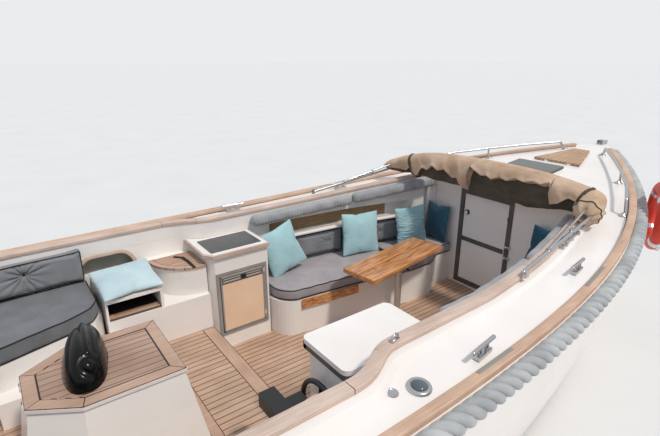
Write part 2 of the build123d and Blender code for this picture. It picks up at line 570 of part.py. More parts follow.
save("dinette_base", bench(PORT_FRONT, 1, SOLE_FWD, BENCH_Z, GAP))
STBD_FRONT = [(620.0, 500.0), (BULK_X - GAP, 500.0)]
save("starboard_seat_base", bench(STBD_FRONT, -1, SOLE_FWD, BENCH_Z, GAP))
port_cushion = bench(PORT_FRONT, 1, BENCH_Z, CUSH_Z, 4.0, grow=20.0)
split_p = 1430.0
port_a = port_cushion & box(0, split_p - 4, 0, 1300, 400, 600)
port_b = port_cushion & box(split_p + 4, 2400, 0, 1300, 400, 600)
stbd_cushion = bench(STBD_FRONT, -1, BENCH_Z, CUSH_Z, 4.0, grow=20.0)
save("seat_cushions", port_a, port_b, stbd_cushion)
PADS = [(170.0, 745.0, 1), (765.0, 1330.0, 1), (1350.0, 1900.0, 1), (640.0, 1250.0, -1),
        (1270.0, 1900.0, -1)]
pads = [back_pad(x0, x1, side, CUSH_Z + GAP, SHELF_Z0, far=70.0) for x0, x1, side in PADS]
save("seat_back_pads", *pads)


def rows_between(x0, x1):
    xs = [x0] + [r[0] for r in COAMING if x0 < r[0] < x1] + [x1]
    return [(x, value(COAMING, 1, x), value(COAMING, 2, x)) for x in xs]


def bolster_quad(side):
    def quad(row):
        x, y, top = row
        z1, z0 = top - CAP_T - 4, top - CAP_T - 104
        y0, y1 = side * (y - 95), side * (y - GAP)
        return [(x, y0, z0), (x, y1, z0), (x, y1, z1), (x, y0, z1)]
    return quad


ROLLS = [(170.0, 1195.0, 1), (1215.0, 2130.0, 1), (262.0, 1195.0, -1), (1215.0, 2130.0, -1)]
save("coaming_bolsters", *[strip(rows_between(x0, x1), bolster_quad(side)) for x0, x1, side in ROLLS])
(board_x0, board_y0), (board_x1, board_y1) = PORT_FRONT[ROUND_STEPS:ROUND_STEPS + 2]
board_slope = (board_y1 - board_y0) / (board_x1 - board_x0)
board = [(x, board_y0 + board_slope * (x - board_x0)) for x in (board_x0 + 10, board_x1 - 10)]
save("berth_board", prism(board + [(x, y - 19.5) for x, y in reversed(board)], 345, 418))

# Table.
TABLE = (1170.0, 262.0, 9.0, 1000.0, 340.0)   # centre x, centre y, turn in degrees, length, width
TABLE_Z = (640.0, 682.0)
top = Pos(TABLE[0], TABLE[1], (TABLE_Z[0] + TABLE_Z[1]) / 2) * Rot(0, 0, TABLE[2]) * Box(
    TABLE[3], TABLE[4], TABLE_Z[1] - TABLE_Z[0])
save("table_top", top)
POST = (1250.0, 290.0)
post = Pos(POST[0], POST[1], (SOLE_FWD + TABLE_Z[0]) / 2) * Cylinder(30, TABLE_Z[0] - SOLE_FWD)
post = post + Pos(POST[0], POST[1], SOLE_FWD + 5) * Cylinder(50, 10)
save("table_post", post)

# Loose cushions.
# centre x, centre y, height of what carries it, width, height, thickness, yaw, lean
LOOSE = [
    (380.0, 850.0, CUSH_Z, 400.0, 380.0, 110.0, 0.0, -10.0),
    (1220.0, 775.0, CUSH_Z, 360.0, 380.0, 110.0, -8.0, -10.0),
    (1760.0, 655.0, CUSH_Z, 330.0, 380.0, 100.0, -12.0, -8.0),
    (2074.0, 590.0, CUSH_Z, 260.0, 370.0, 100.0, -90.0, -8.0),
    (2074.0, -620.0, CUSH_Z, 240.0, 370.0, 100.0, -90.0, -8.0),
    (-900.0, 885.0, SHELF_Z[1], 390.0, 320.0, 110.0, 0.0, -70.0),
]


def loose(cx, cy, seat, width, height, thick, yaw, lean):
    tilt = math.radians(abs(lean))
    cz = seat + GAP + height / 2 * math.cos(tilt) + thick / 2 * math.sin(tilt)
    return Pos(cx, cy, cz) * Rot(0, 0, yaw) * Rot(lean, 0, 0) * Box(width, thick, height)


save("scatter_cushions", *[loose(*row) for row in LOOSE])

# Folded hood on its bow.
HOOD_PIVOT = (880.0, 1078.0, 1135.0)
BOW_R = 12.5
HOOD_PIN = 8.0
HALF_BOW = [HOOD_PIVOT, (1850.0, 985.0, 1262.0), (1900.0, 900.0, 1290.0)]
bow = tube(HALF_BOW + [(1960.0, 0.0, 1375.0)] + [(x, -y, z) for x, y, z in reversed(HALF_BOW)], BOW_R)
# Hood roll, one row per section: y, centre x, centre z, half depth, half height.
ROLL = [
    (1090.0, 1800.0, 1262.0, 62.0, 44.0),
    (900.0, 1860.0, 1302.0, 100.0, 82.0),
    (450.0, 1925.0, 1340.0, 118.0, 135.0),
    (0.0, 1950.0, 1334.0, 122.0, 154.0),
    (-450.0, 1970.0, 1326.0, 122.0, 154.0),
    (-850.0, 2005.0, 1318.0, 120.0, 104.0),
    (-1080.0, 2030.0, 1280.0, 96.0, 80.0),
]


def roll_section(y, x, z, half_depth, half_height):
    upright = Plane(origin=(x, y, z), x_dir=(1, 0, 0), z_dir=(0, 1, 0))
    return Wire.make_ellipse(half_depth, half_height, upright)


roll = Solid.make_loft([roll_section(*row) for row in ROLL])
save("hood_canvas", roll)
for side in (1, -1):
    bow = bow + Pos(HOOD_PIVOT[0], side * 1091, HOOD_PIVOT[2]) * Rot(90, 0, 0) * Cylinder(HOOD_PIN, 30)
    bow = bow + Pos(HOOD_PIVOT[0], side * HOOD_PIVOT[1], HOOD_PIVOT[2]) * Sphere(BOW_R)
save("hood_bow", bow - roll)
bracket = box(862, 898, 1096, 1104, value(COAMING, 2, 898), 1152)
pin_spot = Pos(HOOD_PIVOT[0], 1100, HOOD_PIVOT[2]) * Rot(90, 0, 0)
bracket = bracket - pin_spot * Cylinder(HOOD_PIN + RUN, 30)
save("hood_pivots", bracket, mirrored(bracket))

# Foredeck fittings.
def deck_top(x, y):
    beam, sheer = value(STATIONS, 1, x), value(STATIONS, 2, x)
    return sheer + 60.0 * (beam / 1450.0) * (1 - (y / beam) ** 2)


SLOPE = -math.degrees(math.atan2(deck_top(2870, 0) - deck_top(2430, 0), 440.0))
sky_x = (SKYLIGHT[0] + SKYLIGHT[1]) / 2
sky_len, sky_wid = SKYLIGHT[1] - SKYLIGHT[0], 2 * SKYLIGHT[2]
sky = Pos(sky_x, 0, deck_top(sky_x, 0)) * Rot(0, SLOPE, 0)
ring = sky * Box(sky_len, sky_wid, 100) - sky * Box(sky_len - 60, sky_wid - 60, 140)
ring = max((ring - deck).solids(), key=lambda s: s.bounding_box().max.Z)
sky_lid = sky * Pos(0, 0, 66) * Box(sky_len + 6, sky_wid + 6, 22)
sky_axis = (sky * Pos(sky_len / 2 + 3, 0, 55)).position
ring, sky_lid = hinged(ring, sky_lid, tuple(sky_axis), "Y", (-140, 140), 9)
save("skylight_rim", ring)
save("skylight_hatch", sky_lid)

HATCH = (3155.0, 520.0, 240.0, 82.0)     # aft edge, length, half width aft, half width forward
HATCH_T = 20.0
hatch_z = deck_top(HATCH[0], 0) + 5
hatch_rise = deck_top(HATCH[0] + HATCH[1], 0) - deck_top(HATCH[0], 0)
hatch_slope = -math.degrees(math.atan2(hatch_rise, HATCH[1]))
hatch = prism([(0, HATCH[2]), (HATCH[1], HATCH[3]), (HATCH[1], -HATCH[3]), (0, -HATCH[2])], 0, HATCH_T)
hatch = Pos(HATCH[0], 0, hatch_z) * Rot(0, hatch_slope, 0) * hatch
deck, hatch = hinged(deck, hatch, (HATCH[0], 0, hatch_z), "Y", (-120, 120), 10)
save("deck", deck)
save("anchor_hatch", hatch)

RAIL_R = 12.5
RAIL_PATH = [(2350.0, 1020.0, 1150.0), (2400.0, 985.0, 1290.0), (2640.0, 880.0, 1330.0),
             (2980.0, 690.0, 1368.0), (3350.0, 455.0, 1405.0), (3660.0, 240.0, 1432.0),
             (3700.0, 205.0, 1330.0)]
STANCHION = [(2980.0, 690.0, 1366.0), (2984.0, 690.0, 1300.0), (2985.0, 690.0, 1230.0)]
bow_rail = round_bar(RAIL_PATH, RAIL_R, 30) + round_bar(STANCHION, 10, 20)
bow_rail = max((bow_rail - deck - rail).solids(), key=lambda s: s.bounding_box().size.X)
save("bow_rails", bow_rail, mirrored(bow_rail))

CLEATS = [(160.0, 1335.0), (1280.0, 1200.0), (-2900.0, 1190.0)]


def cleat(x, y, turn):
    z = deck_top(x, y)
    horn = tube([(-95, 0, 44), (95, 0, 44)], 11)
    horn = horn + Pos(-95, 0, 44) * Sphere(11) + Pos(95, 0, 44) * Sphere(11)
    legs = tube([(-32, 0, -12), (-32, 0, 44)], 10) + tube([(32, 0, -12), (32, 0, 44)], 10)
    foot = Pos(0, 0, -1) * Box(120, 34, 18)
    return Pos(x, y, z) * Rot(0, 0, turn) * (horn + legs + foot)


pieces = []
for x, y in CLEATS:
    body = max((cleat(x, y, -8) - deck).solids(), key=lambda s: s.volume)
    pieces = pieces + [body, mirrored(body)]
save("cleats", *pieces)
dome = Pos(-240, -1310, deck_top(-240, 1310)) * Cylinder(52, 24)
cap_disc = Pos(-345, -1245, deck_top(-345, 1245)) * Cylinder(24, 16)
LOWEST_CAP = 1005.0      # the discs stand above this height
save("deck_caps", *[s for s in (dome + cap_disc - deck).solids() if s.bounding_box().max.Z > LOWEST_CAP])
roller = box(4060, 4175, -32, 32, 1392, 1404)
roller = roller + box(4060, 4175, -32, -26, 1392, 1440) + box(4060, 4175, 26, 32, 1392, 1440)
roller = roller + Pos(4150, 0, 1424) * Rot(90, 0, 0) * Cylinder(14, 60)
roller = max((roller - deck - hull).solids(), key=lambda s: s.volume)
save("bow_roller", roller)

# Lifebuoy outside the starboard bow rail.
BUOY = (2690.0, -1122.0, 1130.0, 225.0, 52.0, 27.0)   # centre, ring radius, tube radius, turn
buoy = Pos(*BUOY[:3]) * Rot(0, 0, BUOY[5]) * Rot(90, 0, 0) * Torus(BUOY[3], BUOY[4])
buoy = max((buoy - rope.mirror(Plane.XZ) - hull - deck).solids(), key=lambda s: s.volume)
save("lifebuoy", buoy)

# Propeller, shaft and rudder.
PROP_X = -3480.0
shaft = Pos(PROP_X + 60, 0, SHAFT_Z) * Rot(0, 90, 0) * Cylinder(SHAFT_R, 100)
prop = shaft + Pos(PROP_X, 0, SHAFT_Z) * Rot(0, 90, 0) * Cylinder(38, 90)
for k in range(3):
    blade = Pos(0, 0, 105) * Rot(0, 0, 32) * Box(14, 92, 150)
    prop = prop + Pos(PROP_X, 0, SHAFT_Z) * Rot(120 * k, 0, 0) * blade
save("propeller", prop)
RUDDER = [(-3640.0, -215.0), (-3600.0, -640.0), (-3900.0, -640.0), (-3960.0, -170.0)]
rudder_face = Face(Wire.make_polygon([Vector(x, -14, z) for x, z in RUDDER], close=True))
rudder = extrude(rudder_face, amount=28, dir=(0, 1, 0))
rudder = rudder + Pos(RUDDER_X, 0, -140) * Cylinder(STOCK_R, 160)
save("rudder", rudder)
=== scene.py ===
# %% [markdown]
# An open motor launch with a cuddy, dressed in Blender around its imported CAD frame.
# The frame gives every rigid piece its place. This file adds the finish of each surface, the padded
# and woven pieces, the stranded rope fender and the small fittings that a boatbuilder screws on last.

# %% Load the frame
import math

import bmesh
import bpy
import numpy as np
from mathutils import Matrix, Vector, noise
from mathutils.bvhtree import BVHTree


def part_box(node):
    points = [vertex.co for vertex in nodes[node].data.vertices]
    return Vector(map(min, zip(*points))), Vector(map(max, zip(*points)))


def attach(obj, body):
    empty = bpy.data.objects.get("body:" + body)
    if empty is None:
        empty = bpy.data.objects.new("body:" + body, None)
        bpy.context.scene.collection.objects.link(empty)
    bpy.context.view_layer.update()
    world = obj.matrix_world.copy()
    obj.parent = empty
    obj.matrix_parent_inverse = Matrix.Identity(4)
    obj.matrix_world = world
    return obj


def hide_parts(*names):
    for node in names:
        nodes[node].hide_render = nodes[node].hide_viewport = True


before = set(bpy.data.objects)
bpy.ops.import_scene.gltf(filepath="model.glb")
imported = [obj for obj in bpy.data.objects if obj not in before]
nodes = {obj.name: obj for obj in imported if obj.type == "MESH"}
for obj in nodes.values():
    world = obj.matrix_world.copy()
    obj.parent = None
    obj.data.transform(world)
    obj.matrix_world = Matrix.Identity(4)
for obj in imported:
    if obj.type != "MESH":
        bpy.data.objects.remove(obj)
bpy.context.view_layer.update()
bpy.ops.object.select_all(action="DESELECT")

# %% [markdown]
# Every finish is built from the same two helpers. One turns a written sRGB colour into the linear
# numbers that the shader wants. The other adds one shader node with its settings and its links, so
# that a material reads as a short list of what feeds what.

# %% Helpers for materials
MM = 0.001


def linear(code):
    """sRGB hex colour as a linear RGBA tuple."""
    parts = [int(code[i:i + 2], 16) / 255 for i in (1, 3, 5)]
    return tuple(c / 12.92 if c <= 0.04045 else ((c + 0.055) / 1.055) ** 2.4 for c in parts) + (1.0,)


def add(tree, kind, feeds, out=0, **settings):
    """One shader node: feeds are its sockets, as numbers or as other nodes' outputs."""
    made = tree.nodes.new("ShaderNode" + kind)
    for key, value in settings.items():
        setattr(made, key, value)
    for key, value in feeds.items():
        if isinstance(value, bpy.types.NodeSocket):
            tree.links.new(value, made.inputs[key])
        else:
            made.inputs[key].default_value = value
    return made.outputs[out]


# %% [markdown]
# A surface is never one even colour. Patches wander between two close tones over a real distance,
# and the same cloud can drive the gloss and a slight relief. These three are shared by all finishes.

# %% Parts that the finishes share
def surface(name, colour, roughness, **constants):
    """A new material with its constants set, its tree, its shader and its object coordinates."""
    material = bpy.data.materials.new(name)
    material.use_nodes = True
    tree = material.node_tree
    shader = tree.nodes["Principled BSDF"]
    shader.inputs["Base Color"].default_value = linear(colour)
    shader.inputs["Roughness"].default_value = roughness
    for key, value in constants.items():
        shader.inputs[key.replace("_", " ")].default_value = value
    return material, tree, shader, add(tree, "TexCoord", {}, out="Object")


def patches(tree, place, size_mm, low, high):
    """Colour between two tones in soft patches, and the cloud behind it."""
    cloud = add(tree, "TexNoise", {"Vector": place, "Scale": 1 / (size_mm * MM), "Detail": 4.0})
    sharp = add(tree, "MapRange", {"Value": cloud, 1: 0.32, 2: 0.68})
    tones = {0: sharp, 6: linear(low), 7: linear(high)}
    return add(tree, "Mix", tones, out=2, data_type="RGBA"), cloud


def relief(tree, shader, *layers):
    """Bump made of layers, each a height from 0 to 1 and its real depth in millimetres."""
    normal = None
    for height, depth_mm in layers:
        feeds = {"Height": height, "Distance": depth_mm * MM}
        if normal is not None:
            feeds["Normal"] = normal
        normal = add(tree, "Bump", feeds)
    tree.links.new(normal, shader.inputs["Normal"])


def paint(tree, shader, colour, roughness=None):
    tree.links.new(colour, shader.inputs["Base Color"])
    if roughness is not None:
        tree.links.new(roughness, shader.inputs["Roughness"])


# %% [markdown]
# The hull, deck and furniture are moulded in polyester with a thick gelcoat skin. Gelcoat is a hard
# glossy resin, so it gets a low roughness and a clear coat. Sun and feet leave it a little uneven,
# and its colour drifts by a few percent over half a metre.

# %% Gelcoat
def gelcoat(name, low, high, roughness):
    material, tree, shader, place = surface(name, high, roughness, IOR=1.5,
                                            Coat_Weight=0.3, Coat_Roughness=0.15)
    colour, cloud = patches(tree, place, 450, low, high)
    fine = add(tree, "TexNoise", {"Vector": place, "Scale": 1 / (70 * MM), "Detail": 3.0})
    scuffed = add(tree, "MapRange", {"Value": fine, 3: roughness - 0.06, 4: roughness + 0.14})
    paint(tree, shader, colour, scuffed)
    relief(tree, shader, (cloud, 0.6))
    return material


WHITE = gelcoat("gelcoat_white", "#E9E3DD", "#F1ECE7", 0.28)

# %% [markdown]
# Underwater paint is matt and slightly chalky. It starts just below the waterline with a narrow
# boot stripe, so one material on the hull chooses by height: paint, stripe or white topsides.

# %% Hull finish with its waterline
PAINT_TOP, STRIPE_LOW, STRIPE_TOP = 0.035, 0.053, 0.078


def hull_finish():
    material, tree, shader, place = surface("gelcoat_and_bottom_paint", "#F1E9E2", 0.24, IOR=1.5)
    white, cloud = patches(tree, place, 600, "#E8E2DB", "#F1EBE6")
    bottom, chalk = patches(tree, place, 90, "#1B2C3C", "#23384B")
    height = add(tree, "SeparateXYZ", {0: place}, out=2)
    under = add(tree, "Math", {0: height, 1: PAINT_TOP}, operation="LESS_THAN")
    middle = (STRIPE_LOW + STRIPE_TOP) / 2
    stripe = add(tree, "Math", {0: height, 1: middle, 2: (STRIPE_TOP - STRIPE_LOW) / 2}, operation="COMPARE")
    body = add(tree, "Mix", {0: under, 6: white, 7: bottom}, out=2, data_type="RGBA")
    striped = add(tree, "Mix", {0: stripe, 6: body, 7: linear("#7E5B45")}, out=2, data_type="RGBA")
    paint(tree, shader, striped, add(tree, "MapRange", {"Value": under, 3: 0.22, 4: 0.62}))
    relief(tree, shader, (cloud, 0.8), (chalk, 0.3))
    return material


HULL = hull_finish()

# %% [markdown]
# Bare teak greys and pinkens in the sun. Its grain runs along the plank, so the noise that colours
# it is stretched along the plank. The sole and the hatches are laid in narrow planks with black
# caulking between them: a point is dark where its distance to the nearest seam is under half a
# caulk width, and each plank takes its own tone from its number.

# %% Teak
def teak(name, low, high, turn=0.0, pitch=None, seam=0.0, offset=0.0, rough=0.6):
    """Bare teak with its grain 'turn' degrees from X. With a pitch, in metres, it is laid in planks."""
    material, tree, shader, place = surface(name, high, rough, IOR=1.45)
    turned = add(tree, "Mapping", {"Vector": place, "Rotation": (0, 0, math.radians(-turn))})
    fibre = add(tree, "Mapping", {"Vector": turned, "Scale": (0.05, 1, 1)})
    streak = add(tree, "TexNoise", {"Vector": fibre, "Scale": 1 / (8 * MM), "Detail": 5.0})
    sharp = add(tree, "MapRange", {"Value": streak, 1: 0.3, 2: 0.7})
    wood = add(tree, "Mix", {0: sharp, 6: linear(low), 7: linear(high)}, out=2, data_type="RGBA")
    worn, _ = patches(tree, place, 260, "#D5CBC4", "#FFFFFF")
    wood = add(tree, "Mix", {0: 0.6, 6: wood, 7: worn}, out=2, data_type="RGBA", blend_type="MULTIPLY")
    layers = [(streak, 0.5)]
    if pitch:
        across = add(tree, "SeparateXYZ", {0: turned}, out=1)
        count = add(tree, "Math", {0: across, 1: 1 / pitch, 2: offset / pitch}, operation="MULTIPLY_ADD")
        number = add(tree, "Math", {0: count}, operation="FLOOR")
        from_seam = add(tree, "Math", {0: count, 1: 0.5}, operation="PINGPONG")
        limits = {1: seam / pitch * 0.35, 2: seam / pitch * 0.65, 3: 1.0, 4: 0.0}
        dark = add(tree, "MapRange", {"Value": from_seam, **limits})
        tone = add(tree, "TexWhiteNoise", {"W": number}, noise_dimensions="1D")
        shade = add(tree, "MapRange", {"Value": tone, 3: 0.9, 4: 1.05})
        wood = add(tree, "HueSaturation", {"Color": wood, "Value": shade})
        wood = add(tree, "Mix", {0: dark, 6: wood, 7: linear("#5E483B")}, out=2, data_type="RGBA")
        layers.append((add(tree, "Math", {0: 1.0, 1: dark}, operation="SUBTRACT"), 1.0))
    paint(tree, shader, wood)
    relief(tree, shader, *layers)
    return material


SOLE_TEAK = teak("teak_planked_sole", "#B7977F", "#CFB199", pitch=0.050, seam=0.0065)
LID_TEAK = teak("teak_planked_lid", "#A98C78", "#BFA18E", pitch=0.050, seam=0.005)
MARGIN_TEAK = teak("teak_margin_boards", "#B2947F", "#C6A793")
CROSS_TEAK = teak("teak_cross_boards", "#B69781", "#CBAB95", turn=90)
CAP_TEAK = teak("teak_coaming_cap", "#C6AE9F", "#DAC6B8")
RAIL_TEAK = teak("teak_toe_rail", "#C6A68D", "#DBBCA4")
STEP_TEAK = teak("teak_planked_steps", "#B39179", "#CCAC93", pitch=0.045, seam=0.004)
SHELF_TEAK = teak("teak_oiled_brown", "#8A7355", "#A98F6C", rough=0.5)
HATCH_TEAK = teak("teak_planked_hatch", "#BC9977", "#D6B391", pitch=0.045, seam=0.005)

# %% [markdown]
# The table and the board along the bench are varnished hardwood: orange, with dark knots and a
# wet gloss. Varnish is a clear coat over the wood, so the coat carries the shine.

# %% Varnished wood
def varnished():
    material, tree, shader, place = surface("hardwood_varnished", "#BC7134", 0.35, IOR=1.5,
                                            Coat_Weight=0.8, Coat_Roughness=0.12)
    turned = add(tree, "Mapping", {"Vector": place, "Rotation": (0, 0, math.radians(-9))})
    fibre = add(tree, "Mapping", {"Vector": turned, "Scale": (0.09, 1, 1)})
    rings = add(tree, "TexNoise", {"Vector": fibre, "Scale": 1 / (16 * MM), "Detail": 6.0, "Distortion": 0.6})
    sharp = add(tree, "MapRange", {"Value": rings, 1: 0.33, 2: 0.67})
    wood = add(tree, "Mix", {0: sharp, 6: linear("#9A5624"), 7: linear("#DDA063")}, out=2, data_type="RGBA")
    feeds = {"Vector": turned, "Scale": 1 / (85 * MM), "Detail": 5.0, "Roughness": 0.65}
    knots = add(tree, "TexNoise", feeds)
    spots = add(tree, "MapRange", {"Value": knots, 1: 0.60, 2: 0.70, 4: 0.75})
    paint(tree, shader, add(tree, "Mix", {0: spots, 6: wood, 7: linear("#4E230D")}, out=2, data_type="RGBA"))
    relief(tree, shader, (rings, 0.4))
    return material


VARNISH = varnished()

# %% [markdown]
# Woven covers scatter light at their fibres' tips, so each gets a little sheen and a rough surface.
# The weave is crossed ridges. Its colour is painted a little darker in their hollows and lighter on
# their crests, as painted shade and light. Real threads are about half a millimetre apart, far too
# fine for this view, so they are drawn 3 mm apart or more. Sun and use fade the cloth in soft patches.

# %% Fabric
def cloth(name, low, high, thread_mm=3.0, depth_mm=0.12, sheen=0.2, crease_mm=0.0, crease_depth=3.0):
    material, tree, shader, place = surface(name, high, 0.85, Sheen_Weight=sheen, Sheen_Roughness=0.5)
    colour, _ = patches(tree, place, 150, low, high)
    cycles = 2 * math.pi / (thread_mm * MM)
    threads = [add(tree, "Math", {0: axis, 1: cycles}, operation="MULTIPLY")
               for axis in add(tree, "SeparateXYZ", {0: place}).node.outputs]
    ridges = [add(tree, "Math", {0: thread}, operation="SINE") for thread in threads]
    crossed = add(tree, "Math", {0: ridges[0], 1: ridges[1]}, operation="MULTIPLY")
    woven = add(tree, "Math", {0: crossed, 1: ridges[2], 2: 0.5}, operation="MULTIPLY_ADD")
    # painted shade in the weave's hollows and painted highlight on its crests
    thread = add(tree, "MapRange", {"Value": woven, 3: 0.94, 4: 1.04})
    paint(tree, shader, add(tree, "HueSaturation", {"Color": colour, "Value": thread}))
    layers = [(woven, depth_mm)]
    if crease_mm:
        feeds = {"Vector": place, "Scale": 1 / (crease_mm * MM), "Detail": 3.0, "Distortion": 1.2}
        layers.append((add(tree, "TexNoise", feeds), crease_depth))
    relief(tree, shader, *layers)
    return material


SEAT_GREY = cloth("woven_acrylic_grey", "#75777A", "#88898C", crease_mm=180, crease_depth=5.0)
# Two copies of the one grey seat cloth: this darker one paints shade on the after seat, and the lighter,
# warmer one below paints sunlight on the dinette seat.
SEAT_GREY_PAINTED_SHADE = cloth("woven_acrylic_grey_painted_shade", "#626467", "#727477", crease_mm=180, crease_depth=5.0)
SEAT_GREY_PAINTED_SUNLIT = cloth("woven_acrylic_grey_painted_sunlit", "#979194", "#A8A2A4", crease_mm=180, crease_depth=5.0)
ROLL_GREY = cloth("woven_acrylic_silver", "#8F9193", "#A6A8A9", crease_mm=50)
PIPING = cloth("piping_black", "#101113", "#1B1D1F", thread_mm=2.0, sheen=0.05)
TURQUOISE = cloth("woven_cotton_turquoise", "#98C0C6", "#ABCED3", sheen=0.3, crease_mm=70)
PALE_BLUE = cloth("woven_cotton_pale_blue", "#AFC6CB", "#C3D6D9", sheen=0.3, crease_mm=70)
CRINKLE = cloth("crinkled_cotton_turquoise", "#86B0B8", "#A6C8CC", thread_mm=6.0, depth_mm=0.4, crease_mm=22)
TEAL = cloth("woven_cotton_teal", "#0B3A4C", "#124C62", crease_mm=70)
CANVAS = cloth("hood_canvas_tan", "#B39578", "#CCAF95", thread_mm=4.0, sheen=0.15,
               crease_mm=60, crease_depth=5.0)
# A darker copy of the hood canvas, for the painted shade on the bundle's under layer.
CANVAS_PAINTED_SHADE = cloth("hood_canvas_painted_shade", "#453D31", "#5A5142", thread_mm=4.0, sheen=0.1,
               crease_mm=80, crease_depth=6.0)
BINDING = cloth("hood_binding_brown", "#3E332B", "#4E4137", thread_mm=4.0, sheen=0.1)
ROPE = cloth("polyester_rope_grey", "#9A9D9D", "#B9BBBA", thread_mm=9.0, depth_mm=0.7)
LINE_WHITE = cloth("line_white", "#C9C7C0", "#E0DED8")

# %% [markdown]
# Deck fittings are polished stainless steel: a metal with fine random scratches. Plastics, rubber
# and enamel are dielectrics that differ in gloss: the cowl is high-gloss moulded plastic, the
# fridge's door panel satin laminate, and the gasket matt rubber.

# %% Metal, plastic and enamel
def metal(name, colour, roughness, grit_mm=3.0):
    material, tree, shader, place = surface(name, colour, roughness, Metallic=1.0)
    scratch = add(tree, "Mapping", {"Vector": place, "Scale": (1, 0.08, 1)})
    grit = add(tree, "TexNoise", {"Vector": scratch, "Scale": 1 / (grit_mm * MM), "Detail": 3.0})
    rough = add(tree, "MapRange", {"Value": grit, 3: roughness * 0.7, 4: roughness * 1.6})
    tree.links.new(rough, shader.inputs["Roughness"])
    relief(tree, shader, (grit, 0.03))
    return material


def moulded(name, low, high, roughness, patch_mm=120, bump_mm=0.15, **constants):
    material, tree, shader, place = surface(name, high, roughness, **constants)
    colour, cloud = patches(tree, place, patch_mm, low, high)
    rough = add(tree, "MapRange", {"Value": cloud, 3: roughness * 0.8, 4: min(1.0, roughness * 1.25)})
    paint(tree, shader, colour, rough)
    relief(tree, shader, (cloud, bump_mm))
    return material


STEEL = metal("stainless_polished", "#B4B6B9", 0.22)
BRUSHED = metal("stainless_brushed", "#A5A39F", 0.34)
ALLOY = metal("aluminium_anodised_grey", "#7E7F80", 0.42)
LIGHT_ALLOY = metal("aluminium_satin_light", "#D2D3D4", 0.38)
BRONZE = metal("bronze_cast", "#8C6A3C", 0.45, grit_mm=9.0)
GLOSS_BLACK = moulded("abs_gloss_black", "#040505", "#08090A", 0.20, Specular_IOR_Level=0.2)
SATIN_BLACK = moulded("abs_satin_black", "#101214", "#1A1D20", 0.42)
CAULK = moulded("caulking_black", "#1E1815", "#2C231E", 0.55, patch_mm=25)
RUBBER = moulded("rubber_black", "#0E0F10", "#191A1B", 0.75, patch_mm=20)
FRIDGE_PANEL = moulded("laminate_beige", "#E4C0A0", "#EECEB1", 0.42, patch_mm=300)
GREY_TRIM = moulded("painted_frame_grey_brown", "#4F4B49", "#5F5A57", 0.48)
FRAME_GREY = moulded("aluminium_painted_grey", "#8B8885", "#999694", 0.45)
HOB = moulded("worktop_inset_slate", "#3C3F42", "#4C5053", 0.30, patch_mm=40, Coat_Weight=0.3)
ENGINE_PAINT = moulded("engine_enamel_grey", "#4A5054", "#5A6166", 0.40, patch_mm=60)
ORANGE = moulded("lifebuoy_shell_orange", "#C9301A", "#DC3D22", 0.42, patch_mm=90, bump_mm=0.4)
SILVER = moulded("reflective_tape", "#C9CCCF", "#DADDE0", 0.25, patch_mm=12, Metallic=0.6)
SMOKED = moulded("acrylic_smoked", "#0B0C0E", "#131518", 0.08, Coat_Weight=0.5)
GLASS_GREY = moulded("glass_frosted_grey", "#3F4A52", "#55626B", 0.12, Coat_Weight=0.5)
# Near-black plates that paint the shade inside the deep locker under the low step.
LOCKER_PAINTED_SHADE = moulded("locker_painted_shade", "#1A1814", "#24211C", 0.7)
NICHE_GREY = moulded("niche_lining_grey_green", "#75766C", "#86877D", 0.6, patch_mm=90)

# %% [markdown]
# A CAD node keeps its mesh and only gets its finish, so each finish here lists the nodes that wear it.

# %% Finishes of the CAD nodes
FINISH = {
    HULL: "hull hull_side_port hull_side_starboard keel_skeg rudder",
    WHITE: "sole_bed cockpit_lining cockpit_lining_upper deck bulkhead galley_module worktop_rim "
           "boarding_steps_port boarding_step_starboard aft_seat_base engine_box helm_console "
           "dinette_base starboard_seat_base console_lid cuddy_door skylight_rim",
    CAP_TEAK: "coaming_cap galley_worktop",
    RAIL_TEAK: "toe_rail",
    SOLE_TEAK: "cockpit_sole",
    STEP_TEAK: "step_treads",
    LID_TEAK: "engine_box_lid",
    HATCH_TEAK: "anchor_hatch",
    VARNISH: "table_top berth_board",
    GREY_TRIM: "door_frame console_lid_frame",
    FRAME_GREY: "fridge_frame",
    FRIDGE_PANEL: "fridge_door",
    HOB: "worktop_hob",
    STEEL: "hood_bow hood_pivots bow_rails cleats deck_caps bow_roller throttle_plate",
    LIGHT_ALLOY: "table_post",
    BRONZE: "propeller",
    ENGINE_PAINT: "engine_block",
    GLOSS_BLACK: "engine_air_cowl",
    SATIN_BLACK: "helm_seat steering_wheel throttle_lever",
    SMOKED: "skylight_hatch",
    ORANGE: "lifebuoy",
    ROPE: "rope_fender",
    SEAT_GREY: "aft_seat_cushions aft_back_cushions seat_cushions seat_back_pads",
    ROLL_GREY: "coaming_bolsters",
    TURQUOISE: "scatter_cushions",
    CANVAS: "hood_canvas",
}
for finish, names in FINISH.items():
    for name in names.split():
        nodes[name].data.materials.clear()
        nodes[name].data.materials.append(finish)
print("nodes left without a finish", set(nodes) - set(" ".join(FINISH.values()).split()))

# %% [markdown]

# %% [markdown]
# The camera stands beside the boat at eye height, and its heading, tilt and lens were solved from the
# photograph's parallel edges. It comes before the pieces, so that each can be judged through it.

# %% Camera
CAMERA_AT = (-1.5, -2.38, 2.33)
HEADING = math.atan2(0.804, 0.595)
TILT_DOWN = math.radians(19.2)
LENS_MM, SENSOR_MM = 25.2, 36.0

bpy.ops.object.camera_add(location=CAMERA_AT, rotation=(math.pi / 2 - TILT_DOWN, 0, HEADING - math.pi / 2))
camera = bpy.context.object
camera.data.lens = LENS_MM
camera.data.sensor_width = SENSOR_MM
bpy.context.scene.camera = camera

# %% [markdown]
# The pieces below all start from a few small moves: choose a piece, read or set its points, apply a
# modifier, cut a CAD node with a plane to learn its outline there, and hand a finished piece to the
# frame. Each is a plain function, so that a later cell says only what is special about its piece.

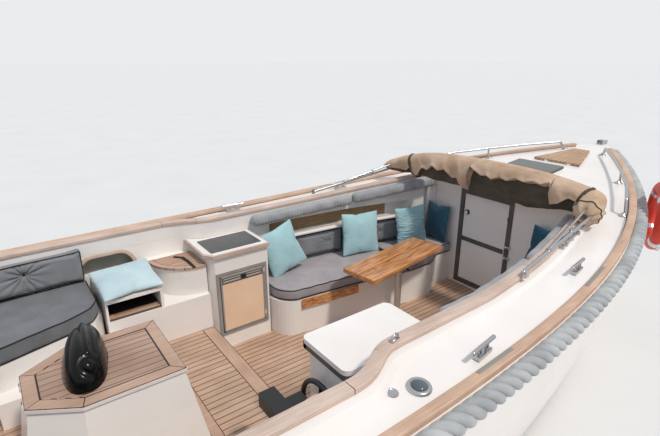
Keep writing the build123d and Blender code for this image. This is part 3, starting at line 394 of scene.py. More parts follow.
# %% Helpers for shapes
FLAT, ROUND, CREASED = 0, 180, 40      # edges under this angle, in degrees, are shaded smooth


def choose(*pieces):
    bpy.ops.object.select_all(action="DESELECT")
    for piece in pieces:
        piece.select_set(True)
    bpy.context.view_layer.objects.active = pieces[0]


def spots_of(piece):
    spots = np.empty(len(piece.data.vertices) * 3)
    piece.data.vertices.foreach_get("co", spots)
    return spots.reshape(-1, 3)


def normals_of(piece):
    return np.array([tuple(vertex.normal) for vertex in piece.data.vertices])


def set_spots(piece, spots):
    piece.data.vertices.foreach_set("co", np.asarray(spots, dtype=float).ravel())
    piece.data.update()


def units(ways):
    """Rows of vectors, each brought to length one."""
    return ways / np.linalg.norm(ways, axis=1)[:, None]


def turns(count):
    """Angles evenly spaced round a full circle."""
    return np.linspace(0, 2 * math.pi, count, endpoint=False)


def yaw(degrees):
    """Turns points about Z, as a matrix that stands to their right."""
    c, s = math.cos(math.radians(degrees)), math.sin(math.radians(degrees))
    return np.array(((c, s, 0), (-s, c, 0), (0, 0, 1)))


def apply(piece, kind, **settings):
    """Adds a modifier with its settings and applies it at once."""
    choose(piece)
    modifier = piece.modifiers.new(kind.title(), kind)
    for key, value in settings.items():
        setattr(modifier, key, value)
    bpy.ops.object.modifier_apply(modifier=modifier.name)


def ease(piece, width, segments, least):
    """Rounds the edges whose faces meet at more than the least angle, in degrees."""
    limit = math.radians(least)
    apply(piece, "BEVEL", width=width, segments=segments, limit_method="ANGLE", angle_limit=limit)


def section(node, axis, at):
    """Points where a CAD node's edges cross the plane axis = at."""
    mesh = nodes[node].data
    spots = spots_of(nodes[node])
    ends = np.empty(len(mesh.edges) * 2, dtype=int)
    mesh.edges.foreach_get("vertices", ends)
    a, b = spots[ends[0::2]], spots[ends[1::2]]
    crossing = (a[:, axis] - at) * (b[:, axis] - at) < 0
    a, b = a[crossing], b[crossing]
    share = ((at - a[:, axis]) / (b[:, axis] - a[:, axis]))[:, None]
    return a + (b - a) * share


def side_section(node, x, side=1):
    """Points of one side of a CAD node at a station, to port unless asked."""
    cut = section(node, 0, x)
    return cut[cut[:, 1] * side > 0]


def solids_of(node):
    """Each solid of a CAD node as a merged copy of its own, from aft to forward."""
    piece = bpy.data.objects.new(node + "_copy", nodes[node].data.copy())
    bpy.context.scene.collection.objects.link(piece)
    piece.data.materials.clear()
    choose(piece)
    bpy.ops.object.mode_set(mode="EDIT")
    bpy.ops.mesh.select_all(action="SELECT")
    bpy.ops.mesh.remove_doubles(threshold=0.00002)
    bpy.ops.mesh.dissolve_limited(angle_limit=math.radians(0.5))
    bpy.ops.mesh.separate(type="LOOSE")
    bpy.ops.object.mode_set(mode="OBJECT")
    return sorted(bpy.context.selected_objects,
                  key=lambda p: (round(spots_of(p)[:, 0].min(), 2), spots_of(p)[:, 1].min()))


def joined(pieces):
    choose(*pieces)
    bpy.ops.object.join()
    return pieces[0]


def hand_over(piece, name, finish, shading=ROUND, body="boat", replaces=None):
    """Joins a list of pieces, names the result, gives it its finish, hangs it on its body and hides what it
    replaces.
    """
    if isinstance(piece, list):
        piece = joined(piece)
    piece.name = name
    piece.data.name = name
    piece.data.materials.clear()
    piece.data.materials.append(finish)
    choose(piece)
    if shading == ROUND:
        bpy.ops.object.shade_smooth()
    elif shading:
        bpy.ops.object.shade_smooth_by_angle(angle=math.radians(shading))
    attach(piece, body)
    if replaces:
        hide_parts(replaces)
    return piece


def new_piece(name, spots, faces):
    mesh = bpy.data.meshes.new(name)
    mesh.from_pydata(spots, [], faces)
    piece = bpy.data.objects.new(name, mesh)
    bpy.context.scene.collection.objects.link(piece)
    return piece


def turn_outward(piece, thick=0.0):
    """Makes the normals point out, after a flat piece is drawn up to a thickness where one is given."""
    choose(piece)
    bpy.ops.object.mode_set(mode="EDIT")
    bpy.ops.mesh.select_all(action="SELECT")
    if thick:
        bpy.ops.mesh.extrude_region_move(TRANSFORM_OT_translate={"value": (0, 0, thick)})
        bpy.ops.mesh.select_all(action="SELECT")
    bpy.ops.mesh.normals_make_consistent(inside=False)
    bpy.ops.object.mode_set(mode="OBJECT")
    return piece


def grid_piece(name, rows, closed_along=False):
    """A mesh skinned over closed rows of points, with a fan on each end unless it is closed along."""
    rows = np.asarray(rows)
    count, around = rows.shape[:2]
    spots = [tuple(p) for p in rows.reshape(-1, 3)]
    faces = []
    for i in range(count if closed_along else count - 1):
        for j in range(around):
            here, there = i * around, ((i + 1) % count) * around
            after = (j + 1) % around
            faces.append((here + j, here + after, there + after, there + j))
    if not closed_along:
        for end in (0, count - 1):
            spots.append(tuple(rows[end].mean(axis=0)))
            hub = len(spots) - 1
            for j in range(around):
                a, b = end * around + j, end * around + (j + 1) % around
                faces.append((b, a, hub) if end == 0 else (a, b, hub))
    return turn_outward(new_piece(name, spots, faces))


def rod(name, path, radius, sides=8, closed=False):
    """A round rod along a path of points."""
    path = np.asarray(path, dtype=float)
    ahead = np.roll(path, -1, axis=0) - np.roll(path, 1, axis=0)
    if not closed:
        ahead[0], ahead[-1] = path[1] - path[0], path[-1] - path[-2]
    ahead = units(ahead)
    side = np.cross(ahead[0], (0, 0, 1) if abs(ahead[0][2]) < 0.9 else (1, 0, 0))
    rows = []
    for spot, way in zip(path, ahead):
        side = side - way * side.dot(way)
        side /= np.linalg.norm(side)
        up = np.cross(way, side)
        rows.append([spot + radius * (side * math.cos(t) + up * math.sin(t)) for t in turns(sides)])
    return grid_piece(name, rows, closed_along=closed)


def even(path, step, closed=False):
    """The same path with its points a step apart."""
    path = np.asarray(path, dtype=float)
    if closed:
        path = np.vstack([path, path[:1]])
    run = np.concatenate([[0], np.cumsum(np.linalg.norm(np.diff(path, axis=0), axis=1))])
    count = max(3, int(round(run[-1] / step)))
    at = np.linspace(0, run[-1], count + 1)[:count if closed else count + 1]
    return np.stack([np.interp(at, run, path[:, k]) for k in range(3)], axis=1)


def rounded(path, rounds, closed=False):
    """A path with its corners eased by averaging each point with its neighbours."""
    for _ in range(rounds):
        eased = (np.roll(path, 1, axis=0) + 2 * path + np.roll(path, -1, axis=0)) / 4
        if not closed:
            eased[0], eased[-1] = path[0], path[-1]
        path = eased
    return path


# %% [markdown]
# Boards, plates and mouldings come up again and again on a boat. A plate is cut on the flat, drawn
# in by half a seam, extruded and eased. A moulding is one profile carried along a line. A block is a
# cube at its real size with its edges eased, because no real edge is perfectly sharp.

# %% Helpers for boards, plates and mouldings
SUNK = 0.001             # how deep a laid board reaches into the surface under it


def inset(outline, gap):
    """A closed flat outline drawn in by a gap, whichever way it winds."""
    spots = np.asarray(outline, dtype=float)
    ahead = np.roll(spots, -1, axis=0) - spots
    area = np.sum(spots[:, 0] * np.roll(spots[:, 1], -1) - np.roll(spots[:, 0], -1) * spots[:, 1])
    ahead = units(ahead)
    inward = np.stack([-ahead[:, 1], ahead[:, 0]], axis=1) * np.sign(area)
    before = np.roll(inward, 1, axis=0)
    return spots + (inward + before) / (1 + (inward * before).sum(axis=1))[:, None] * gap


def plates(name, outlines, low, high, gap=0.0, edge=0.0):
    """Flat plates cut to outlines, each drawn in by a gap and with eased edges."""
    spots, faces = [], []
    for outline in outlines:
        drawn = inset(outline, gap)
        faces.append(tuple(range(len(spots), len(spots) + len(drawn))))
        spots += [(x, y, low) for x, y in drawn]
    piece = turn_outward(new_piece(name, spots, faces), high - low)
    if edge:
        ease(piece, edge, 2, 35)
    return piece


def inlay(name, outlines, top, proud, finish, gap=0.0, edge=0.0, body="boat"):
    """Plates let into a level surface, standing a little proud of it, and handed over."""
    hand_over(plates(name, outlines, top - SUNK, top + proud, gap, edge), name, finish, FLAT, body)


def ring_boards(outline, width):
    """One mitred board for each side of an outline, all of one width."""
    outer, inner = np.asarray(outline, dtype=float), inset(outline, width)
    count = len(outer)
    return [[outer[i], outer[(i + 1) % count], inner[(i + 1) % count], inner[i]] for i in range(count)]


def arc(centre, radius, start, stop, steps=16):
    """Points round part of a circle, angles in degrees."""
    angles = np.radians(np.linspace(start, stop, steps + 1))
    return [(centre[0] + radius * math.cos(t), centre[1] + radius * math.sin(t)) for t in angles]


def lay(piece, origin, u, v):
    """Moves a piece modelled on the flat to its place: its X goes along u and its Y along v."""
    set_spots(piece, np.array(origin) + spots_of(piece) @ np.array([u, v, np.cross(u, v)], dtype=float))
    return piece


def blocks(edge, *boxes):
    """Cubes at their real size and place, given by low and high corners, with eased edges."""
    made = []
    for low, high in boxes:
        low, high = np.array(low), np.array(high)
        bpy.ops.mesh.primitive_cube_add(size=1)
        cube = bpy.context.object
        set_spots(cube, (low + high) / 2 + spots_of(cube) * (high - low))
        apply(cube, "BEVEL", width=edge, segments=2, limit_method="NONE")
        made.append(cube)
    return made


def disc(name, centre, normal, profile, sides=32):
    """A turned piece: its profile is a list of (radius, height) from the rim's foot to the middle."""
    turn = np.array(Vector(normal).to_track_quat("Z", "Y").to_matrix())
    rows = [[np.array(centre) + turn @ np.array((r * math.cos(t), r * math.sin(t), h)) for t in turns(sides)]
            for r, h in profile]
    return grid_piece(name, rows)


def bar(width, height, edge):
    """Rounded profile with its top inner corner at nought: outboard to its width, down to its height."""
    corners = ((0, 0, 180, 90), (width, 0, 90, 0), (width, -height, 0, -90), (0, -height, -90, -180))
    spots = []
    for x, z, start, stop in corners:
        cx = edge if x == 0 else width - edge
        cz = -edge if z == 0 else edge - height
        spots += arc((cx, cz), edge, start, stop, 3)
    return spots


def moulding(name, line, profile, side):
    """A bar of one profile along a nearly level line. Side says which way outboard is."""
    line = np.asarray(line, dtype=float)
    ahead = units(np.gradient(line, axis=0) * (1, 1, 0))
    out = np.stack([ahead[:, 1], -ahead[:, 0], ahead[:, 0] * 0], axis=1) * side
    return grid_piece(name, [[spot + way * a + np.array((0, 0, b)) for a, b in profile]
                             for spot, way in zip(line, out)])


# %% [markdown]
# The rope fender is a three-strand polyester rope as thick as a forearm, laid along the sheer. A
# cylinder with a bump map would look smooth at its edge, so the three strands are real: each one
# winds round the rope's own line, and the lens-shaped lobes of the photograph appear by themselves.
# The line is a smooth spline through stations that are measured on the CAD rope.

# %% Rope fender
ROPE_R = 0.050
STRAND_R = ROPE_R / (1 + 2 / math.sqrt(3)) * 1.10
WIND_R = ROPE_R - STRAND_R
LAY = 0.207              # one full turn of a strand
LAY_STEPS = 18
ROPE_IN, ROPE_UP = 0.011, 0.027      # how far the strands lie inside and above the CAD tube


def spline_line(points):
    """Points along a smooth NURBS spline, as Blender evaluates it."""
    curve = bpy.data.curves.new("rope_line", "CURVE")
    curve.dimensions = "3D"
    curve.resolution_u = 12
    spline = curve.splines.new("NURBS")
    spline.points.add(len(points) - 1)
    for point, place in zip(spline.points, points):
        point.co = (*place, 1.0)
    spline.order_u = 4
    spline.use_endpoint_u = True
    holder = bpy.data.objects.new("rope_line", curve)
    bpy.context.scene.collection.objects.link(holder)
    mesh = bpy.data.meshes.new_from_object(holder)
    line = np.array([tuple(v.co) for v in mesh.vertices])
    bpy.data.objects.remove(holder)
    return line


def stranded(line):
    """Three strands wound round a line."""
    line = even(line, LAY / LAY_STEPS)
    ahead = units(np.gradient(line, axis=0))
    side = units(np.cross(ahead, (0, 0, 1)))
    up = np.cross(side, ahead)
    strands = []
    for k in range(3):
        angle = (k / 3 - np.arange(len(line)) / LAY_STEPS)[:, None] * 2 * math.pi
        core = line + WIND_R * (np.cos(angle) * side + np.sin(angle) * up)
        strands.append(rod("strand", core, STRAND_R, sides=12))
    return strands


side_rows = []
for x in np.arange(-4.02, 4.06, 0.16):
    port = side_section("rope_fender", x)
    side_rows.append((x, port[:, 1].max(), (port[:, 2].max() + port[:, 2].min()) / 2))
side_rows = np.array(side_rows)
slope = np.gradient(side_rows[:, 1], side_rows[:, 0])
side_rows[:, 1] -= (ROPE_R + ROPE_IN) * np.sqrt(1 + slope ** 2)
side_rows[:, 2] += ROPE_UP
port_line = spline_line(side_rows)
stern_cut = section("rope_fender", 1, 0.0)
stern_x = stern_cut[:, 0].min() + ROPE_R
stern_z = stern_cut[stern_cut[:, 0] < -3.9][:, 2].mean() + ROPE_UP
stern_line = np.array([(stern_x, y, stern_z) for y in np.linspace(-0.97, 0.97, 60)])
for name, line in (("port", port_line), ("starboard", port_line * (1, -1, 1)), ("stern", stern_line)):
    rope = hand_over(stranded(line), "rope_fender_" + name, ROPE, replaces="rope_fender")
    print(rope.name, "triangles", len(rope.data.polygons) * 2)

# %% [markdown]
# Seat cushions are foam in sewn covers. A cover is cut a little small, so the foam pushes its faces
# out into a low crown and its edges stay rounded. The recipe: copy the CAD solid, round its edges,
# remesh it into even small faces, and let the cloth solver blow it up a little, with a limit on how
# far each point may go. Underneath, and against the wall, the cushion stays flat, because it rests.

# %% Recipe for a foam cushion
SETTLE_FRAMES = 14
PIPE_R = 0.0042


def inflate(piece, pressure, quality, frames, **stiffness):
    """Lets the cloth solver blow a piece up without gravity, and keeps its last frame."""
    choose(piece)
    solver = piece.modifiers.new("Cloth", "CLOTH")
    solver.settings.effector_weights.gravity = 0.0
    solver.settings.use_pressure = True
    solver.settings.uniform_pressure_force = pressure
    solver.settings.quality = quality
    for key, value in stiffness.items():
        setattr(solver.settings, key, value)
    solver.point_cache.frame_end = frames
    for number in range(1, frames + 1):
        bpy.context.scene.frame_set(number)
    bpy.ops.object.modifier_apply(modifier=solver.name)
    bpy.context.scene.frame_set(1)


def foam(piece, edge, voxel, swell):
    """Rounds, remeshes and swells a cushion in place, and keeps it inside its own CAD box."""
    low, high = spots_of(piece).min(axis=0), spots_of(piece).max(axis=0)
    ease(piece, edge, 3, 40)
    apply(piece, "REMESH", mode="VOXEL", voxel_size=voxel)
    apply(piece, "DISPLACE", strength=-swell * 0.6, mid_level=0.0)
    start = spots_of(piece)
    inflate(piece, 4.0, 4, SETTLE_FRAMES)
    move = spots_of(piece) - start
    far = np.linalg.norm(move, axis=1)[:, None]
    settled = start + move * np.minimum(1.0, swell / np.maximum(far, 1e-9))
    set_spots(piece, np.clip(settled, low - (0.003, 0.003, 0.0), high + 0.004))


def border(piece, direction):
    """The closed outline of the faces of a CAD copy that look in one direction."""
    work = bmesh.new()
    work.from_mesh(piece.data)
    facing = {face.index for face in work.faces if face.normal.dot(Vector(direction)) > 0.7}
    links = {}
    for edge in work.edges:
        if sum(face.index in facing for face in edge.link_faces) == 1:
            a, b = edge.verts
            links.setdefault(a.index, []).append(b.index)
            links.setdefault(b.index, []).append(a.index)
    start = next(iter(links))
    order, last = [start], None
    while True:
        following = [n for n in links[order[-1]] if n != last]
        last = order[-1]
        if following[0] == start or len(order) > len(links):
            break
        order.append(following[0])
    work.verts.ensure_lookup_table()
    outline = np.array([tuple(work.verts[i].co) for i in order])
    work.free()
    return outline


def surface_tree(piece):
    return BVHTree.FromObject(piece, bpy.context.evaluated_depsgraph_get())


def piping(name, piece, outline):
    """Black piping sewn along an outline, laid on the cushion's real surface."""
    tree = surface_tree(piece)
    laid = []
    for spot in rounded(even(outline, 0.012, closed=True), 5, closed=True):
        touch, normal = tree.find_nearest(Vector(spot))[:2]
        laid.append(tuple(touch + normal * 0.0022))
    return rod(name, rounded(np.array(laid), 8, closed=True), PIPE_R, sides=6, closed=True)


# %% [markdown]
# A button pulls the cover down through the foam. Round it the cloth bunches into folds that fan out
# and fade. Each point near a button is lowered by a deep narrow dent, a wide shallow one, and by
# folds that follow the angle round the button, so that no two of them are quite alike.

# %% Recipe for a button and its folds
NARROW = 0.020           # reach of the narrow dent under the button itself
BUTTON_SIZE = (0.013, 0.013, 0.006)


def tuft(piece, centre, normal, depth, reach, folds, fold_depth, seed):
    """Dents a cushion round a button and gives back the button."""
    centre, normal = np.array(centre), np.array(Vector(normal).normalized())
    near = np.linalg.norm(spots_of(piece) - centre, axis=1) < reach * 1.3
    piece.data.polygons.foreach_set("select", [False] * len(piece.data.polygons))
    piece.data.vertices.foreach_set("select", near.tolist())
    choose(piece)
    bpy.ops.object.mode_set(mode="EDIT")
    bpy.ops.mesh.select_mode(type="VERT")
    bpy.ops.mesh.select_mode(type="FACE")
    bpy.ops.mesh.subdivide(number_cuts=1, smoothness=0.0)
    bpy.ops.object.mode_set(mode="OBJECT")
    spots = spots_of(piece)
    across = spots - centre
    flat = across - (across @ normal)[:, None] * normal
    first = np.cross(normal, (0.31, 0.17, 0.93))
    first /= np.linalg.norm(first)
    away = np.linalg.norm(flat, axis=1)
    angle = np.arctan2(flat @ np.cross(normal, first), flat @ first)
    rng = np.random.default_rng(seed)
    wave = np.zeros(len(spots))
    for more, share in ((-3, 0.4), (0, 1.0), (4, 0.5)):
        wave += np.cos((folds + more) * angle + rng.uniform(0, 6.3)) * share
    crease = -np.clip(wave, -2, 0.35)
    fade = np.exp(-(away / (reach * 0.55)) ** 2) * (1 - np.exp(-(away / 0.018) ** 2))
    dent = depth * (0.62 * np.exp(-(away / NARROW) ** 2) + 0.38 * np.exp(-(away / (reach * 0.5)) ** 2))
    facing = np.clip(normals_of(piece) @ normal, 0, 1) ** 2 * (away < reach * 1.6)
    drop = (dent + fold_depth * fade * crease * 0.5) * facing
    set_spots(piece, spots - drop[:, None] * normal)
    bpy.ops.mesh.primitive_uv_sphere_add(segments=20, ring_count=10, radius=1.0)
    button = bpy.context.object
    turn = np.array(Vector(normal).to_track_quat("Z", "Y").to_matrix())
    set_spots(button, spots_of(button) * BUTTON_SIZE @ turn.T + centre - normal * (depth * 0.97))
    return button


# %% [markdown]
# The seats: two long ones along the dinette, one to starboard, and the after seat that runs round
# the stern. Their covers have black piping along the top edge and along the bottom edge. The after
# seat is buttoned at three places.

# %% Seat cushions
AFT_BUTTONS = ((-1.468, 0.800), (-2.15, 0.800), (-2.15, -0.800))

# The dinette seat wears the painted-sunlit copy of the grey cloth, and the after seat wears the painted-shade
# copy.
for node, material in (("seat_cushions", SEAT_GREY_PAINTED_SUNLIT), ("aft_seat_cushions", SEAT_GREY_PAINTED_SHADE)):
    for number, cushion in enumerate(solids_of(node)):
        name = f"{node}_{number}"
        edges = {"_piping_top": border(cushion, (0, 0, 1)), "_piping_bottom": border(cushion, (0, 0, -1))}
        foam(cushion, edge=0.024, voxel=0.016, swell=0.013)
        pipes = [piping(name + part, cushion, outline) for part, outline in edges.items()]
        low, high = spots_of(cushion).min(axis=0), spots_of(cushion).max(axis=0)
        if node == "aft_seat_cushions" and low[0] < AFT_BUTTONS[0][0] < high[0]:
            for x, y in AFT_BUTTONS:
                button = tuft(cushion, (x, y, high[2]), (0, 0, 1), 0.012, 0.10, 9, 0.004, 5)
                place = f"{x:.2f}_{1 if y > 0 else -1}".replace("-", "m")
                hand_over(button, f"{name}_button_{place}", material)
        hand_over(cushion, name, material, replaces=node)
        for pipe in pipes:
            hand_over(pipe, pipe.name, PIPING)
        print(name, "faces", len(cushion.data.polygons))

# %% [markdown]
# The backs are thinner pads with a tufted button in each and piping round the front face. On the
# port after back the folds are deep, because its filling is softest there. The dinette's pads meet
# further aft than their CAD solids do, so their points are first moved along the seat.

# %% Back cushions
DEEP_BUTTON = (-1.486, 0.943)
DINETTE_BUTTON = (0.935, 0.664)
PAD_EDGES = (0.170, 0.745, 0.765, 1.330, 1.350, 1.900)
PAD_SEEN = (0.170, 0.545, 0.565, 1.115, 1.135, 1.900)
pad_xs = np.array([x for x in np.arange(0.18, 1.90, 0.02) if not (0.74 < x < 0.77 or 1.325 < x < 1.355)])
pad_curve = (pad_xs, np.array([side_section("seat_back_pads", x)[:, 1].max() for x in pad_xs]))

for node, finish, depth, reach, fold_depth, place in (
        ("seat_back_pads", SEAT_GREY, 0.024, 0.16, 0.009, DINETTE_BUTTON),
        ("aft_back_cushions", PIPING, 0.040, 0.26, 0.016, DEEP_BUTTON)):
    for number, pad in enumerate(solids_of(node)):
        name = f"{node}_{number}"
        spots = spots_of(pad)
        if node == "seat_back_pads" and spots[:, 1].mean() > 0:
            moved = np.interp(spots[:, 0], PAD_EDGES, PAD_SEEN)
            spots[:, 1] += np.interp(moved, *pad_curve) - np.interp(spots[:, 0], *pad_curve)
            spots[:, 0] = moved
            set_spots(pad, spots)
        low, high = spots.min(axis=0), spots.max(axis=0)
        athwart = high[1] - low[1] > high[0] - low[0]
        facing = (1, 0, 0) if athwart else (0, -1 if low[1] + high[1] > 0 else 1, 0)
        outline = border(pad, facing)
        foam(pad, edge=0.026, voxel=0.0125, swell=0.014)
        pipe = piping(name + "_piping", pad, outline)
        middle = (low + high) / 2
        if low[0] < place[0] < high[0] and not (athwart and node == "aft_back_cushions"):
            middle[[0, 2]] = place
        touch = surface_tree(pad).ray_cast(Vector(middle) + Vector(facing) * 0.4, -Vector(facing))[0]
        button = tuft(pad, touch, facing, depth, reach, 13, fold_depth, 11 + number)
        hand_over(button, name + "_button", finish)
        hand_over(pad, name, SEAT_GREY, replaces=node)
        hand_over(pipe, pipe.name, PIPING)
print("backs meet at", PAD_SEEN[1:5])

# %% [markdown]
# The bolsters that pad the coaming are sleeves drawn over a foam roll. The sleeve is wider than the
# roll, so its lower half bunches into fine upright gathers, while the top is pulled smooth.

# %% Coaming bolsters
GATHER = 0.030           # distance between gathers
ROLL_END = 0.045         # length over which a roll's end is rounded
SEAM_IN = 0.004          # how far the sleeve lies inside the CAD roll


def bolster(x0, x1, side, seed):
    rng = np.random.default_rng(seed)
    rows = []
    drift = np.cumsum(rng.normal(0, 0.35, 400))
    for i, x in enumerate(np.arange(x0, x1 + 0.001, 0.0065)):
        x = min(x, x1)
        cut = side_section("coaming_bolsters", min(max(x, x0 + 0.003), x1 - 0.003), side)
        low, high = cut.min(axis=0), cut.max(axis=0)
        middle, half = (low + high) / 2, (high - low) / 2
        from_end = min(x - x0, x1 - x) / ROLL_END
        plump = math.sqrt(1 - (1 - from_end) ** 2) if from_end < 1 else 1.0
        ring = []
        for t in turns(44):
            c, s = math.cos(t), math.sin(t)
            shape = (abs(c) ** 2.5 + abs(s) ** 2.5) ** (-1 / 2.5)
            gather = max(0.0, -s + 0.35) * max(0.0, c + 0.55)
            phase = 2 * math.pi * x / GATHER + 0.8 * math.sin(3 * t) + 0.25 * drift[i % 400]
            ripple = 0.0042 * min(1.0, gather) * (abs(math.sin(phase / 2)) * 2 - 1)
            wide = 0.0016 * math.sin(2 * math.pi * x / 0.17 + 2 * s + seed)
            size = shape * (0.25 + 0.75 * plump)
            more = ripple + wide - SEAM_IN
            out, up = half[1] * size + more, half[2] * size + more
            ring.append((x, middle[1] - side * c * out, middle[2] + s * up))
        rows.append(ring)
    return grid_piece("coaming_bolster", rows)


for number, piece in enumerate(solids_of("coaming_bolsters")):
    spots = spots_of(piece)
    bpy.data.objects.remove(piece)
    roll = bolster(spots[:, 0].min(), spots[:, 0].max(), 1 if spots[:, 1].mean() > 0 else -1, number)
    hand_over(roll, f"coaming_bolster_{number}", ROLL_GREY, replaces="coaming_bolsters")
    print(roll.name, "length", round(float(np.ptp(spots[:, 0])), 3))

# %% [markdown]
# The loose cushions are two squares of cloth sewn together and filled. A filled bag of flat cloth
# can't be modelled by rounding a box: its edges draw in, its corners stay thin and stick out, and
# small pleats form along the seams. So each starts as a flat bag and the cloth solver fills it. A
# point that would sink into the seat or the shelf under it is brought up to it. The solver buckles a
# flat bag a little differently each time, so these six vary by some millimetres from run to run.

# %% Loose cushions
SIMULATED = 0.45         # how much of the solver's draw-in the loose filling lets through
SEAT_LEVEL, SHELF_LEVEL = 0.532, 0.787


def filled(width, height, thick):
    """A flat bag of two cloths, blown up until its middle is as thick as asked."""
    bpy.ops.mesh.primitive_grid_add(x_subdivisions=34, y_subdivisions=34, size=1)
    bag = bpy.context.object
    set_spots(bag, spots_of(bag) * (width, height, 1) - (0, 0, 0.006))
    turn_outward(bag, 0.012)
    start = spots_of(bag)
    dome = [(1 - (2 * start[:, k] / size) ** 2) ** 0.6 for k, size in enumerate(np.ptp(start, axis=0)[:2])]
    stuffed = start.copy()
    stuffed[:, 2] += thick / 2 * dome[0] * dome[1] * np.sign(start[:, 2])
    inflate(bag, 6.0, 6, 30, tension_stiffness=12, bending_stiffness=0.3)
    spots = spots_of(bag)
    spots[:, 2] *= thick / np.ptp(spots[:, 2])
    set_spots(bag, spots * SIMULATED + stuffed * (1 - SIMULATED))
    return bag


def crumple(spot):
    """Height of the small sideways wrinkles of washed cotton, in metres."""
    x, y, z = spot
    broad = noise.noise(Vector((x * 9, y * 9, z * 62)))
    fine = noise.noise(Vector((x * 17, y * 17 + 3, z * 118)))
    return 0.0042 * (abs(broad + 0.6 * fine) * 2 - 0.5)


# name, middle, width, height, thickness, then yaw, lean and roll in degrees, and the finish
CUSHIONS = [
    ("turquoise_aft", (0.372, 0.850, 0.748), 0.36, 0.40, 0.115, 0, -12, 17, TURQUOISE),
    ("turquoise_middle", (1.205, 0.785, 0.730), 0.39, 0.39, 0.115, -8, -12, -3, TURQUOISE),
    ("crinkled_forward", (1.760, 0.655, 0.727), 0.34, 0.38, 0.105, -12, -9, 2, CRINKLE),
    ("teal_port_corner", (2.074, 0.590, 0.722), 0.29, 0.37, 0.100, -90, -8, 0, TEAL),
    ("teal_starboard", (2.060, -0.600, 0.765), 0.33, 0.42, 0.110, -90, -8, -6, TEAL),
    ("pale_on_shelf", (-0.905, 0.850, 0.848), 0.40, 0.36, 0.110, 0, -79, 3, PALE_BLUE),
]
for name, middle, width, height, thick, turn, lean, roll, material in CUSHIONS:
    bag = filled(width * 1.05, height * 1.05, thick)
    stand = Matrix.Identity(3)
    for degrees, axis in ((turn, "Z"), (lean, "X"), (-roll, "Y"), (90, "X")):
        stand = stand @ Matrix.Rotation(math.radians(degrees), 3, axis)
    set_spots(bag, spots_of(bag) @ np.array(stand).T + middle)
    apply(bag, "SUBSURF", levels=2 if material is CRINKLE else 1, render_levels=1)
    spots = spots_of(bag)
    if material is CRINKLE:
        spots += np.array([crumple(spot) * normal for spot, normal in zip(spots, normals_of(bag))])
    rest = SHELF_LEVEL if name == "pale_on_shelf" else SEAT_LEVEL
    spots[:, 2] = np.where(spots[:, 2] < rest, rest + (spots[:, 2] - rest) * 0.02, spots[:, 2])
    set_spots(bag, spots)
    hand_over(bag, "cushion_" + name, material, replaces="scatter_cushions")
    print(bag.name, "size", np.round(np.ptp(spots, axis=0), 3))

# %% [markdown]
# The hood is folded down on its bow. It is one long sheet of tan canvas, gathered into a bundle: the
# bow's pocket makes a smooth light band on top, below it the outer layer hangs over in wide pointed
# folds with an uneven hem, and the layer under it is set back in shade. Its upper part wears a darker
# copy of the canvas, which paints that shade. The bundle is skinned over rings that follow the CAD
# roll. Every ring has as many points above the hem as its neighbours, so the hem itself is a clean
# edge that rises and falls along the hood.

# %% Folded hood
HOOD_RINGS = 260
OVER, UNDER = 58, 44     # points of a ring above the hem and below it
FIRST = -75.0            # degrees from the top, where a ring starts on the forward side
HOOD_END = -0.985        # the roll's starboard end, where the end pouch begins
DRAWN_RINGS = 9          # rings over which each end of the bundle is drawn in

# Place along the hood and how far round the hem reaches there, in degrees from the top, going aft.
HEM = [
    (-1.10, 120), (-0.90, 96), (-0.84, 88), (-0.787, 82), (-0.716, 112), (-0.650, 124), (-0.632, 46),
    (-0.57, 62), (-0.50, 58), (-0.423, 66), (-0.35, 60), (-0.282, 74), (-0.22, 68), (-0.163, 80),
    (-0.10, 72), (-0.04, 76), (0.03, 64), (0.072, 56), (0.098, 152), (0.145, 122), (0.190, 104),
    (0.26, 112), (0.33, 84), (0.40, 92), (0.474, 78), (0.53, 100), (0.598, 94), (0.66, 134),
    (0.70, 150), (0.74, 96), (0.80, 128), (0.90, 112), (1.1, 104),
]


def hood_ring(y):
    """Middle and half sizes of the CAD roll at one place along it."""
    cut = section("hood_canvas", 1, y)
    low, high = cut.min(axis=0), cut.max(axis=0)
    return (low + high) / 2, (high - low) / 2


hood_span = np.linspace(HOOD_END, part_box("hood_canvas")[1][1] - 0.004, HOOD_RINGS)
hood_rings = np.array([hood_ring(y) for y in hood_span])
for _ in range(12):
    hood_rings[1:-1] = (hood_rings[:-2] + 2 * hood_rings[1:-1] + hood_rings[2:]) / 4


def ridge(value, sharp):
    """A fold: 1 on its crest and 0 in its valley, with a crest narrower than the valley."""
    return (0.5 + 0.5 * math.cos(2 * math.pi * value)) ** sharp


def share_of(value, low, high):
    """How far a value has come from a low to a high limit, from 0 to 1."""
    return min(1.0, max(0.0, (value - low) / (high - low)))


